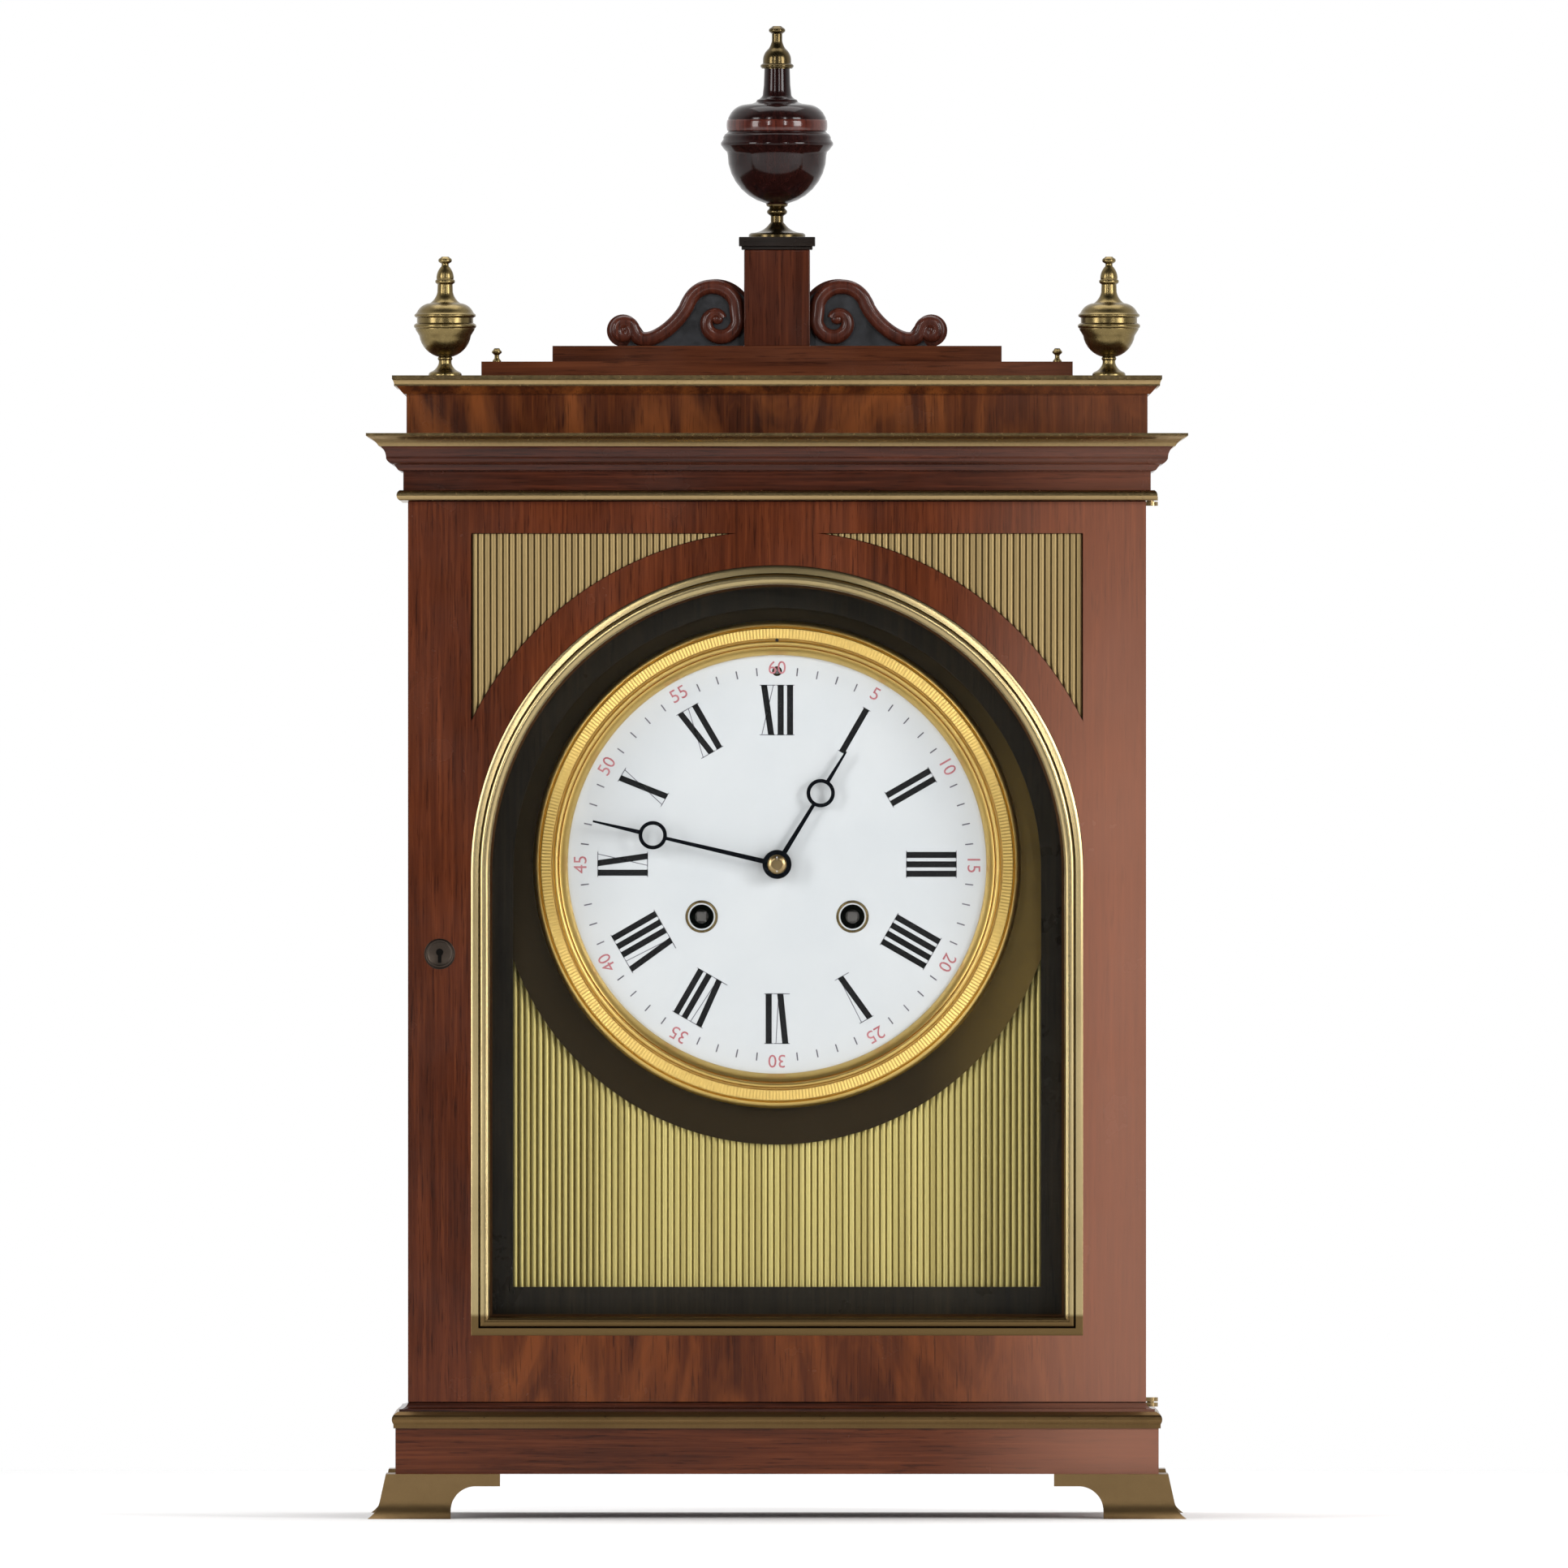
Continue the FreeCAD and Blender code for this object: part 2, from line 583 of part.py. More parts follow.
finial = ornament("finial", s.finial_radius, s.finial_height, [
    (0, 0), (0.514, 0), (0.468, 0.029), (0.198, 0.102), (0.216, 0.137), (0.315, 0.163, 0.2),
    (0.793, 0.332), (0.919, 0.395), (1, 0.41), (1, 0.434), (0.874, 0.451), (0.874, 0.49),
    (0.991, 0.502), (0.955, 0.532), (0.775, 0.58), (0.441, 0.615), (0.243, 0.698),
    (0.234, 0.778), (0.342, 0.79), (0.342, 0.82), (0.207, 0.88), (0.108, 0.934), (0.225, 0.956),
    (0.216, 0.985), (0.108, 1), (0, 1),
])
finial_x = half_width - s.finial_inset
move(finial, finial_x, front + s.finial_inset, z_top)
step_knob = ornament("step_knob", s.knob_radius, s.knob_height, [
    (0, 0), (0.882, 0), (0.471, 0.3), (0.471, 0.5), (1, 0.6), (1, 0.8), (0.529, 1), (0, 1),
])
lower_half = half_width - s.lower_step_inset
move(step_knob, lower_half - s.knob_inset, front + s.lower_step_inset + s.knob_inset, z_upper_step)
keep("brass_finials", group("finials", finial, step_knob, mirrored("finial", finial),
                            mirrored("step_knob", step_knob)))

z_bowl = z_urn + s.urn_foot_height
z_lid = z_bowl + s.urn_bowl_height
z_tip = z_lid + s.urn_lid_height
urn_foot = ornament("urn_foot", s.urn_radius, s.urn_foot_height, [
    (0, 0), (0.497, 0), (0.487, 0.079), (0.264, 0.211), (0.162, 0.333), (0.112, 0.439),
    (0.112, 0.632), (0.19, 0.754), (0.19, 1), (0, 1),
])
urn_bowl = ornament("urn_bowl", s.urn_radius, s.urn_bowl_height, [
    (0, 0), (0.19, 0), (0.198, 0.01, 0.344), (0.868, 0.586), (0.878, 0.603), (0.975, 0.692, 0.4),
    (0.964, 0.836), (0.883, 0.918), (0.868, 1), (0, 1),
])
urn_lid = ornament("urn_lid", s.urn_radius, s.urn_lid_height, [
    (0, 0), (0.858, 0), (0.853, 0.102), (0.782, 0.226), (0.609, 0.305), (0.371, 0.345),
    (0.299, 0.412), (0.244, 0.48), (0.223, 1), (0, 1),
])
urn_tip = ornament("urn_tip", s.urn_radius, s.urn_tip_height, [
    (0, 0), (0.299, 0), (0.299, 0.109), (0.254, 0.163), (0.218, 0.327), (0.147, 0.476),
    (0.091, 0.639), (0.091, 0.816), (0.142, 0.871), (0.132, 0.959), (0.071, 1), (0, 1),
])
for piece, height in ((urn_foot, z_urn), (urn_bowl, z_bowl), (urn_lid, z_lid), (urn_tip, z_tip)):
    move(piece, 0, middle_y, height)
keep("urn", group("urn_wood", urn_bowl, urn_lid))
keep("urn_brass_mounts", group("urn_brass", urn_foot, urn_tip))

# ---------------------------------------------------------------- front door
lock_z = z_body + s.lock_rise
keyhole_x = s.keyhole_inset - half_width
keyhole_z = lock_z + s.lock_height / 2
lock_low = (keyhole_x - s.lock_width / 2, door_back - s.lock_depth, lock_z)
lock_high = (keyhole_x + s.lock_width / 2, door_back, lock_z + s.lock_height)
left_stile = block("left_stile", (-half_width, front, door_bottom), (-stile_x, door_back, door_top))
lock_mortise = block("lock_mortise", lock_low, lock_high)
key_passage = rod("key_passage", s.keyhole_radius + s.keyhole_drop / 2,
                  (keyhole_x, front, keyhole_z), door_back - s.lock_depth)
keep("door_stile_left", cut("left_stile", left_stile, lock_mortise, key_passage))
right_stile = block("right_stile", (stile_x, front, door_bottom), (half_width, door_back, door_top))
keep("door_stile_right", cut("right_stile", right_stile, housing("stile_low_housing", door_low),
                             housing("stile_high_housing", door_high)))
z_sash = z_body + s.door_rail_height
keep("door_bottom_rail", block("bottom_rail", (-stile_x, front, door_bottom),
                               (stile_x, door_back, z_sash)))

arch_inner = stile_x + s.sash_fit
z_horn = z_arch + root(arch_inner * arch_inner - stile_x * stile_x)
head_board = prism("head_board", "XZ_Plane", [
    (stile_x, z_horn),
    (stile_x, door_top),
    (-stile_x, door_top),
    (-stile_x, z_horn, Round(arch_inner, -1)),
], front, s.door_thickness)


def spandrel(name, slack, level, depth):
    """The corner between the arch band, the top rail and the right stile."""
    radius = arch_outer + slack
    top = z_spandrel - slack
    side_x = stile_x - slack
    rise = top - z_arch
    return prism(name, "XZ_Plane", [
        (root(radius * radius - rise * rise), top),
        (side_x, top),
        (side_x, z_arch + root(radius * radius - side_x * side_x), Round(radius, 1)),
    ], level, depth)


reed_depth = s.reed_setback + s.reed_height + s.reed_sheet
recess = spandrel("spandrel_recess", 0, front, reed_depth)
keep("door_arch_head", cut("head_recessed", head_board, recess,
                           mirrored("spandrel_recess", recess)))


def reeded_sheet(name, reach, crest_y, low_z, high_z):
    """Brass sheet with upright reeds, side by side from -reach to +reach across."""
    pitch, height = s.reed_pitch.value, s.reed_height.value
    count = 2 * math.ceil(reach.value / pitch)
    start_x, start_y = -count * pitch / 2, crest_y.value + height
    corners = [(start_x, start_y + s.reed_sheet.value)]
    for reed in range(count):
        left = start_x + reed * pitch
        corners += [(left, start_y), (left + pitch * 0.28, start_y - height),
                    (left + pitch * 0.72, start_y - height)]
    corners += [(start_x + count * pitch, start_y), (start_x + count * pitch, corners[0][1])]
    wire = Part.makePolygon([FreeCAD.Vector(x, y, low_z.value) for x, y in corners + corners[:1]])
    sheet_body = doc.addObject("Part::Feature", name)
    sheet_body.Shape = Part.Face(wire).extrude(FreeCAD.Vector(0, 0, (high_z - low_z).value))
    return sheet_body


spandrel_reeds = common("spandrel_reeds",
                        reeded_sheet("door_reeds", stile_x, front + s.reed_setback, z_arch, door_top),
                        spandrel("spandrel_sheet", s.sash_fit, front, reed_depth))
keep("spandrel_reeds", both_sides("spandrels", spandrel_reeds))

sash_inner = stile_x - s.sash_width
glass_front = front + s.sash_depth
sash = doc.addObject("PartDesign::Body", "sash")
sash_path = draw(sash, "XZ_Plane", [
    (-stile_x, z_arch, Round(stile_x, -1)),
    (0, z_arch + stile_x, Round(stile_x, -1)),
    (stile_x, z_arch),
    (stile_x, z_sash),
    (-stile_x, z_sash),
], front)
slope_x = s.sash_slope - stile_x
sash_run = sash.newObject("PartDesign::AdditivePipe", "sash_run")
sash_run.Profile = draw(sash, "XY_Plane", [
    (-stile_x, glass_front),
    (-stile_x, front),
    (slope_x, front - s.sash_slope_rise, -0.8),
    (slope_x + s.sash_bead, front - s.sash_slope_rise),
    (-sash_inner, front - s.sash_slope_rise / 2),
    (-sash_inner, glass_front),
], z_arch)
sash_run.Spine = (sash_path, ["Edge1", "Edge2", "Edge3", "Edge4", "Edge5"])
sash_run.Transition = "Right corner"
keep("door_brass_sash", sash)


def arched(name, half, low_z, level, depth):
    return prism(name, "XZ_Plane", [
        (-half, z_arch, Round(half, -1)),
        (0, z_arch + half, Round(half, -1)),
        (half, z_arch),
        (half, low_z),
        (-half, low_z),
    ], level, depth)


keep("door_glass", arched("glass", stile_x - s.glass_edge, z_sash + s.glass_edge, glass_front,
                          s.glass_thickness))

escutcheon = rod("escutcheon_disc", s.escutcheon_radius,
                 (keyhole_x, front - s.escutcheon_thickness, keyhole_z), front)
key_round = rod("key_round", s.keyhole_radius, (keyhole_x, front - s.escutcheon_thickness,
                                                keyhole_z), front)
key_slot = block("key_slot", (keyhole_x - s.keyhole_radius / 2, front - s.escutcheon_thickness,
                              keyhole_z - s.keyhole_drop),
                 (keyhole_x + s.keyhole_radius / 2, front, keyhole_z))
keep("lock_escutcheon", cut("escutcheon", escutcheon, key_round, key_slot))

# ---------------------------------------------------------------- lock, bolt and staple
lock_box = block("lock_box", lock_low, lock_high)
lock_hollow = block("lock_hollow", [low + s.lock_wall for low in lock_low],
                    [high - s.lock_wall for high in lock_high])
bolt_back = door_back - s.lock_wall - s.arbor_gap
bolt_front = bolt_back - s.bolt_section
staple_x = keyhole_x - s.lock_width / 4
staple_half = s.staple_thickness / 2
staple_reach = bolt_front - s.bolt_fit * 4
staple_rise = s.bolt_section + s.bolt_fit
lock_slot = block("lock_slot",
                  (staple_x - staple_half - s.bolt_fit * 2, door_back - s.lock_wall,
                   keyhole_z - staple_rise - s.bolt_fit),
                  (staple_x + staple_half + s.bolt_fit * 2, door_back,
                   keyhole_z + staple_rise + s.bolt_fit))
lock_key_hole = rod("lock_key_hole", s.keyhole_radius, (keyhole_x, door_back - s.lock_depth,
                                                        keyhole_z),
                    door_back - s.lock_depth + s.lock_wall)
keep("lock_case", cut("lock", lock_box, lock_hollow, lock_slot, lock_key_hole))
bolt_start = staple_x + staple_half + s.bolt_fit * 3
bolt_half = s.bolt_section / 2
keep("lock_bolt", block("bolt", (bolt_start, bolt_front, keyhole_z - bolt_half),
                        (bolt_start + s.bolt_length, bolt_back, keyhole_z + bolt_half)))
staple_plate = block("staple_plate", (staple_x - staple_half, staple_reach, keyhole_z - staple_rise),
                     (staple_x + staple_half, carcass_front, keyhole_z + staple_rise))
staple_eye = block("staple_eye", (staple_x - staple_half, bolt_front - s.bolt_fit,
                                  keyhole_z - bolt_half - s.bolt_fit),
                   (staple_x + staple_half, bolt_back + s.bolt_fit,
                    keyhole_z + bolt_half + s.bolt_fit))
keep("lock_staple", cut("staple", staple_plate, staple_eye))

# ---------------------------------------------------------------- mask, surround and dial
mask_board = block("mask", (-inner_half, mask_front, z_body), (inner_half, mask_back, z_frieze))
z_sill = z_body + s.mask_sill
mask_half = s.bezel_radius + s.mask_gap
keep("mask_board", cut("mask_open", mask_board,
                       arched("mask_opening", mask_half, z_sill, mask_front,
                              s.mask_thickness)))
going_x, strike_x = s.winding_offset, -s.winding_offset
winding_z = z_dial - s.winding_drop
bezel_bore = s.bezel_radius - s.bezel_width
regulator_z = z_dial + bezel_bore - s.regulator_inset
reed_crest = surround_back
reeds_back = reed_crest + s.reed_height + s.reed_sheet
surround = rod("surround_disc", mask_half + s.surround_lap, (0, mask_back, z_dial), surround_back)
surround_hole = rod("surround_hole", s.surround_hole, (0, mask_back, z_dial), surround_back)
regulator_path = rod("regulator_path", s.regulator_radius + s.running_clearance,
                     (0, mask_back, regulator_z), surround_back)
keep("dial_surround", cut("surround", surround, surround_hole, regulator_path))
panel = reeded_sheet("panel_reeds", mask_half + s.glass_edge, reed_crest,
                     z_sill - s.glass_edge, z_dial)
panel_hole = rod("panel_hole", s.surround_hole, (0, surround_back, z_dial), reeds_back)
keep("reeded_panel", cut("panel", panel, panel_hole))

bezel_front = mask_back - s.bezel_depth
dial_radius = bezel_bore + s.dial_lap
seat_radius = dial_radius + s.bezel_fit
lip_y = dial_front - s.bezel_fit
bezel = turned("bezel_ring", [
    (mask_back, seat_radius),
    (lip_y, seat_radius),
    (lip_y, bezel_bore),
    (lip_y - s.bezel_depth * 0.11, bezel_bore),
    (bezel_front + s.bezel_depth * 0.22, bezel_bore + s.bezel_width * 0.25),
    (bezel_front + s.bezel_depth * 0.17, bezel_bore + s.bezel_width * 0.3, -0.7),
    (bezel_front + s.bezel_depth * 0.19, bezel_bore + s.bezel_width * 0.55),
    (bezel_front + s.bezel_depth * 0.31, bezel_bore + s.bezel_width * 0.58),
    (bezel_front + s.bezel_depth * 0.31, bezel_bore + s.bezel_width * 0.63),
    (bezel_front + s.bezel_depth * 0.22, bezel_bore + s.bezel_width * 0.67),
    (bezel_front + s.bezel_depth * 0.33, bezel_bore + s.bezel_width * 0.88),
    (bezel_front + s.bezel_depth * 0.44, bezel_bore + s.bezel_width * 0.92),
    (bezel_front + s.bezel_depth * 0.56, bezel_bore + s.bezel_width),
    (mask_back, bezel_bore + s.bezel_width),
], lying=True)
keep("dial_bezel", move(bezel, 0, 0, z_dial))


def dial_drill(name, radius, x, z):
    return rod(name, radius, (x, dial_front, z), mask_back)


dial_disc = dial_drill("dial_disc", dial_radius, 0, z_dial)
keep("dial", cut("dial_drilled", dial_disc,
                 dial_drill("dial_centre_hole", s.dial_hole, 0, z_dial),
                 dial_drill("dial_going_hole", s.grommet_hole, going_x, winding_z),
                 dial_drill("dial_strike_hole", s.grommet_hole, strike_x, winding_z),
                 dial_drill("dial_regulator_hole", s.regulator_hole, 0, regulator_z)))
grommets = []
for name, x in (("going_grommet", going_x), ("strike_grommet", strike_x)):
    collar = (x, dial_front - s.grommet_thickness, winding_z)
    grommets.append(cut(name, rod(name + "_rim", s.grommet_radius, collar, dial_front),
                        rod(name + "_bore", s.grommet_hole, collar, dial_front)))
keep("winding_grommets", group("grommets", *grommets))


# ---------------------------------------------------------------- hands
def hand(name, setback, ring_reach, tip_reach, bore, angle):
    """A ring hand drawn upright about its boss, then turned to its place on the dial."""
    level = front + setback
    half = s.hand_shaft / 2
    shaft = prism(name + "_shaft", "XZ_Plane", [
        (-half * 1.3, 0), (half * 1.3, 0), (half * 0.8, ring_reach), (-half * 0.8, ring_reach),
    ], level, s.hand_thickness)
    tip = prism(name + "_tip", "XZ_Plane", [
        (-half * 1.2, ring_reach), (half * 1.2, ring_reach), (half * 0.5, tip_reach),
        (-half * 0.5, tip_reach),
    ], level, s.hand_thickness)
    face = level + s.hand_thickness
    boss = rod(name + "_boss", s.hand_boss_radius, (0, level, 0), face)
    ring = rod(name + "_ring", s.hand_ring_radius, (0, level, ring_reach), face)
    eye = rod(name + "_eye", s.hand_ring_bore, (0, level, ring_reach), face)
    hole = rod(name + "_bore", bore, (0, level, 0), face)
    whole = cut(name, fuse(name, shaft, tip, boss, ring), eye, hole)
    whole.Placement.Rotation = FreeCAD.Rotation(FreeCAD.Vector(0, 1, 0), angle.value)
    bind(whole, Placement_Rotation_Angle=angle)
    return move(whole, 0, 0, z_dial)


hand_fit = s.pivot_fit
keep("hour_hand", hand("hour_hand_blank", s.hour_hand_setback, s.hour_ring_reach,
                       s.hour_tip_reach, s.hour_pipe_radius + hand_fit, s.hour_hand_angle))
keep("minute_hand", hand("minute_hand_blank", s.minute_hand_setback, s.minute_ring_reach,
                         s.minute_tip_reach, s.centre_arbor_radius + hand_fit,
                         s.minute_hand_angle))
minute_face = front + s.minute_hand_setback
collet = turned("collet_ring", [
    (minute_face, s.centre_arbor_radius + hand_fit),
    (minute_face, s.collet_radius),
    (minute_face - s.collet_height * 0.4, s.collet_radius, 0.3),
    (minute_face - s.collet_height, s.collet_radius * 0.6),
    (minute_face - s.collet_height, s.centre_arbor_radius + hand_fit),
], lying=True)
keep("hand_collet", move(collet, 0, 0, z_dial))

# ---------------------------------------------------------------- movement frame
plate_seat = z_dial - s.plate_seat_drop
train_rear = train_back + s.plate_thickness


def plate(name, low_y, holes):
    disc = rod(name, s.plate_radius, (0, low_y, z_dial), low_y + s.plate_thickness)
    below = block(name + "_flat", (-s.plate_radius, low_y, z_dial - s.plate_radius),
                  (s.plate_radius, low_y + s.plate_thickness, plate_seat))
    drills = [rod("%s_hole%d" % (name, number), radius + s.running_clearance, (x, low_y, z),
                  low_y + s.plate_thickness) for number, (x, z, radius) in enumerate(holes)]
    return cut(name, disc, below, *drills)


anchor_z = z_dial + s.anchor_rise
front_plate = plate("front_plate", plate_front, [
    (0, z_dial, s.centre_arbor_radius), (going_x, winding_z, s.winding_arbor_radius),
    (strike_x, winding_z, s.winding_arbor_radius)])
back_plate = plate("back_plate", train_back, [(0, anchor_z, s.arbor_radius)])
cock_half, cock_depth = s.pillar_radius * 2, s.pendulum_setback + front - train_rear
cock = block("suspension_cock", (-cock_half, train_rear, anchor_z + s.arbor_radius * 3),
             (cock_half, train_rear + cock_depth + s.pillar_radius, anchor_z + s.arbor_radius * 8))
cock_plate = block("cock_plate", (-cock_half, train_rear, anchor_z + s.arbor_radius * 3),
                   (cock_half, train_rear + s.plate_thickness, regulator_z + cock_half))
PILLAR_ANGLES = (10, 62, 118, 170, 270)
pillars = [
    rod("pillar%d" % angle, s.pillar_radius,
        (s.pillar_ring * cosine(angle), train_front, z_dial + s.pillar_ring * sine(angle)),
        train_back)
    for angle in PILLAR_ANGLES]
keep("movement_frame", group("frame", front_plate, back_plate,
                             fuse("suspension", cock, cock_plate), *pillars))
keep("seatboard", block("seat", (-inner_half, plate_front, plate_seat - s.seatboard_thickness),
                        (inner_half, train_rear, plate_seat)))


# ---------------------------------------------------------------- toothed wheels
TOOTH_ADDENDUM, TOOTH_DEDENDUM = 0.7, 1.0
WHEEL_RIM_SHARE, WHEEL_HUB_SHARE, WHEEL_SPOKE_SHARE = 0.82, 0.34, 0.16


def windows(radius, level, thickness):
    """What is cut from a wheel to leave a rim, a hub and four spokes."""
    across = FreeCAD.Vector(0, 1, 0)
    middle = FreeCAD.Vector(0, level, 0)
    ring = Part.makeCylinder(radius * WHEEL_RIM_SHARE, thickness, middle, across)
    ring = ring.cut(Part.makeCylinder(radius * WHEEL_HUB_SHARE, thickness, middle, across))
    spoke = radius * WHEEL_SPOKE_SHARE
    for length, width in ((2 * radius, spoke), (spoke, 2 * radius)):
        bar = Part.makeBox(length, thickness, width, FreeCAD.Vector(-length / 2, level, -width / 2))
        ring = ring.cut(bar)
    return ring


def toothed(name, centre, teeth, module, phase, level, thickness, hooked=False, crossed=False):
    """A flat toothed wheel; phase is the angle of one tooth, counted from +X towards +Z."""
    pitch_radius = teeth * module / 2
    tip, base = pitch_radius + TOOTH_ADDENDUM * module, pitch_radius - TOOTH_DEDENDUM * module
    corners = []
    for tooth in range(teeth):
        tip_angle = math.radians(phase + 360.0 * tooth / teeth)
        base_angle = tip_angle + math.radians((20.0 if hooked else 180.0) / teeth)
        corners.append((tip * math.cos(tip_angle), tip * math.sin(tip_angle)))
        corners.append((base * math.cos(base_angle), base * math.sin(base_angle)))
    wire = Part.makePolygon([FreeCAD.Vector(x, level.value, z) for x, z in corners + corners[:1]])
    solid = Part.Face(wire).extrude(FreeCAD.Vector(0, thickness.value, 0))
    if crossed:
        solid = solid.cut(windows(base, level.value, thickness.value))
    wheel = doc.addObject("Part::Feature", name)
    wheel.Shape = solid
    return move(wheel, centre[0], 0, centre[1])


def mesh(one, other, teeth_one, teeth_other, phase_one):
    """Module and phase that put the second wheel in mesh with the first."""
    dx, dz = (other[0] - one[0]).value, (other[1] - one[1]).value
    line = math.degrees(math.atan2(dz, dx))
    module = 2 * math.hypot(dx, dz) / (teeth_one + teeth_other)
    pitch_one, pitch_other = 360.0 / teeth_one, 360.0 / teeth_other
    share = ((line - phase_one) / pitch_one) % 1.0
    return module, line + 180.0 - (0.5 - share) * pitch_other


BARREL_TEETH, SECOND_PINION_TEETH, SECOND_TEETH, CENTRE_PINION_TEETH = 60, 12, 48, 12
CENTRE_TEETH, THIRD_PINION_TEETH, THIRD_TEETH, ESCAPE_PINION_TEETH, ESCAPE_TEETH = 48, 8, 48, 8, 30
CANNON_TEETH, MINUTE_TEETH, MINUTE_PINION_TEETH, HOUR_TEETH = 12, 36, 10, 40
centre_at = (as_size(0), z_dial)
going_at = (going_x, winding_z)
strike_at = (strike_x, winding_z)
second_at = (s.second_offset, z_dial + s.second_rise)
third_at = (s.third_offset, z_dial + s.third_rise)
escape_at = (as_size(0), z_dial + s.escape_rise)
minute_at = (-s.motion_offset, z_dial)
thick = s.wheel_thickness
arbor_start = train_front + s.arbor_gap
arbor_end = train_back - s.arbor_gap

centre_wheel_y = train_front + s.arbor_gap * 4
third_wheel_y = train_front + s.third_wheel_setback
barrel_y = train_front + s.barrel_offset
barrel_wheel_y = barrel_y + s.barrel_length
second_wheel_y = barrel_wheel_y + thick * 2
escape_wheel_y = third_wheel_y + thick * 4
motion_y = plate_front - s.arbor_gap * 3
cannon_y = motion_y - thick
hour_wheel_y = cannon_y - thick - s.arbor_gap * 4

second_module, second_phase = mesh(centre_at, second_at, CENTRE_PINION_TEETH, SECOND_TEETH, 0)
barrel_module, barrel_phase = mesh(second_at, going_at, SECOND_PINION_TEETH, BARREL_TEETH, second_phase)
third_module, third_phase = mesh(centre_at, third_at, CENTRE_TEETH, THIRD_PINION_TEETH, 0)
escape_module, escape_phase = mesh(third_at, escape_at, THIRD_TEETH, ESCAPE_PINION_TEETH, third_phase)
minute_module, minute_phase = mesh(centre_at, minute_at, CANNON_TEETH, MINUTE_TEETH, 0)
hour_module, hour_phase = mesh(minute_at, centre_at, MINUTE_PINION_TEETH, HOUR_TEETH, minute_phase)
escape_tooth_module = s.escape_radius.value / (ESCAPE_TEETH / 2 + TOOTH_ADDENDUM)

# ---------------------------------------------------------------- centre arbor and motion work
collet_front = minute_face - s.collet_height
keep("centre_arbor", fuse(
    "centre",
    rod("centre_shaft", s.centre_arbor_radius, (0, collet_front - s.arbor_tip, z_dial), arbor_end),
    toothed("centre_pinion", centre_at, CENTRE_PINION_TEETH, second_module, 0, second_wheel_y, thick),
    toothed("centre_wheel", centre_at, CENTRE_TEETH, third_module, 0, centre_wheel_y, thick,
            crossed=True),
    toothed("cannon_pinion", centre_at, CANNON_TEETH, minute_module, 0, cannon_y, thick)))
pipe_bore = s.centre_arbor_radius + s.running_clearance
hour_pipe = rod("hour_pipe", s.hour_pipe_radius, (0, front + s.hour_hand_setback, z_dial),
                hour_wheel_y + thick)
hour_bore = rod("hour_bore", pipe_bore, (0, front + s.hour_hand_setback, z_dial),
                hour_wheel_y + thick)
hour_teeth = toothed("hour_teeth", centre_at, HOUR_TEETH, hour_module, hour_phase, hour_wheel_y, thick)
keep("hour_wheel", cut("hour_drilled", fuse("hour", hour_pipe, hour_teeth), hour_bore))
keep("minute_wheel", fuse(
    "minute",
    rod("minute_shaft", s.arbor_radius, (minute_at[0], hour_wheel_y, z_dial),
        plate_front - s.arbor_gap),
    toothed("minute_teeth", minute_at, MINUTE_TEETH, minute_module, minute_phase, cannon_y, thick),
    toothed("minute_pinion", minute_at, MINUTE_PINION_TEETH, hour_module, minute_phase, hour_wheel_y,
            thick)))

# ---------------------------------------------------------------- trains between the plates
keep("second_wheel", fuse(
    "second",
    rod("second_shaft", s.arbor_radius, (second_at[0], arbor_start, second_at[1]), arbor_end),
    toothed("second_teeth", second_at, SECOND_TEETH, second_module, second_phase,
            second_wheel_y, thick, crossed=True),
    toothed("second_pinion", second_at, SECOND_PINION_TEETH, barrel_module, second_phase,
            barrel_wheel_y, thick)))
keep("third_wheel", fuse(
    "third",
    rod("third_shaft", s.arbor_radius, (third_at[0], arbor_start, third_at[1]), arbor_end),
    toothed("third_teeth", third_at, THIRD_TEETH, escape_module, third_phase, third_wheel_y, thick,
            crossed=True),
    toothed("third_pinion", third_at, THIRD_PINION_TEETH, third_module, third_phase,
            centre_wheel_y, thick)))
keep("escape_wheel", fuse(
    "escape",
    rod("escape_shaft", s.arbor_radius, (0, arbor_start, escape_at[1]), arbor_end),
    toothed("escape_teeth", escape_at, ESCAPE_TEETH, escape_tooth_module, 0, escape_wheel_y, thick,
            hooked=True, crossed=True),
    toothed("escape_pinion", escape_at, ESCAPE_PINION_TEETH, escape_module, escape_phase,
            third_wheel_y, thick)))


def barrel(node, centre, phase):
    """A mainspring barrel: drum and great wheel, with the bore that its arbor runs in."""
    drum = rod(node + "_drum", s.barrel_radius, (centre[0], barrel_y, centre[1]), barrel_wheel_y)
    great = toothed(node + "_great", centre, BARREL_TEETH, barrel_module, phase, barrel_wheel_y,
                    thick)
    bore = rod(node + "_bore", s.winding_arbor_radius + s.running_clearance,
               (centre[0], barrel_y, centre[1]), barrel_wheel_y + thick)
    return keep(node, cut(node, fuse(node, drum, great), bore))


def winding_arbor(node, centre):
    """The arbor that the key turns, with its square end behind the hole in the dial."""
    half = s.winding_square / 2
    shaft = rod(node + "_shaft", s.winding_arbor_radius,
                (centre[0], plate_front - s.plate_thickness, centre[1]), arbor_end)
    square = block(node + "_square", (centre[0] - half, dial_front + s.arbor_gap, centre[1] - half),
                   (centre[0] + half, plate_front - s.plate_thickness, centre[1] + half))
    return keep(node, fuse(node, shaft, square))


barrel("going_barrel", going_at, barrel_phase)
barrel("strike_barrel", strike_at, 180.0 - barrel_phase)
winding_arbor("going_winding_arbor", going_at)
winding_arbor("strike_winding_arbor", strike_at)
keep("regulator_arbor", rod("regulator_shaft", s.regulator_radius,
                            (0, dial_front + s.arbor_gap, regulator_z),
                            train_rear - s.arbor_gap))

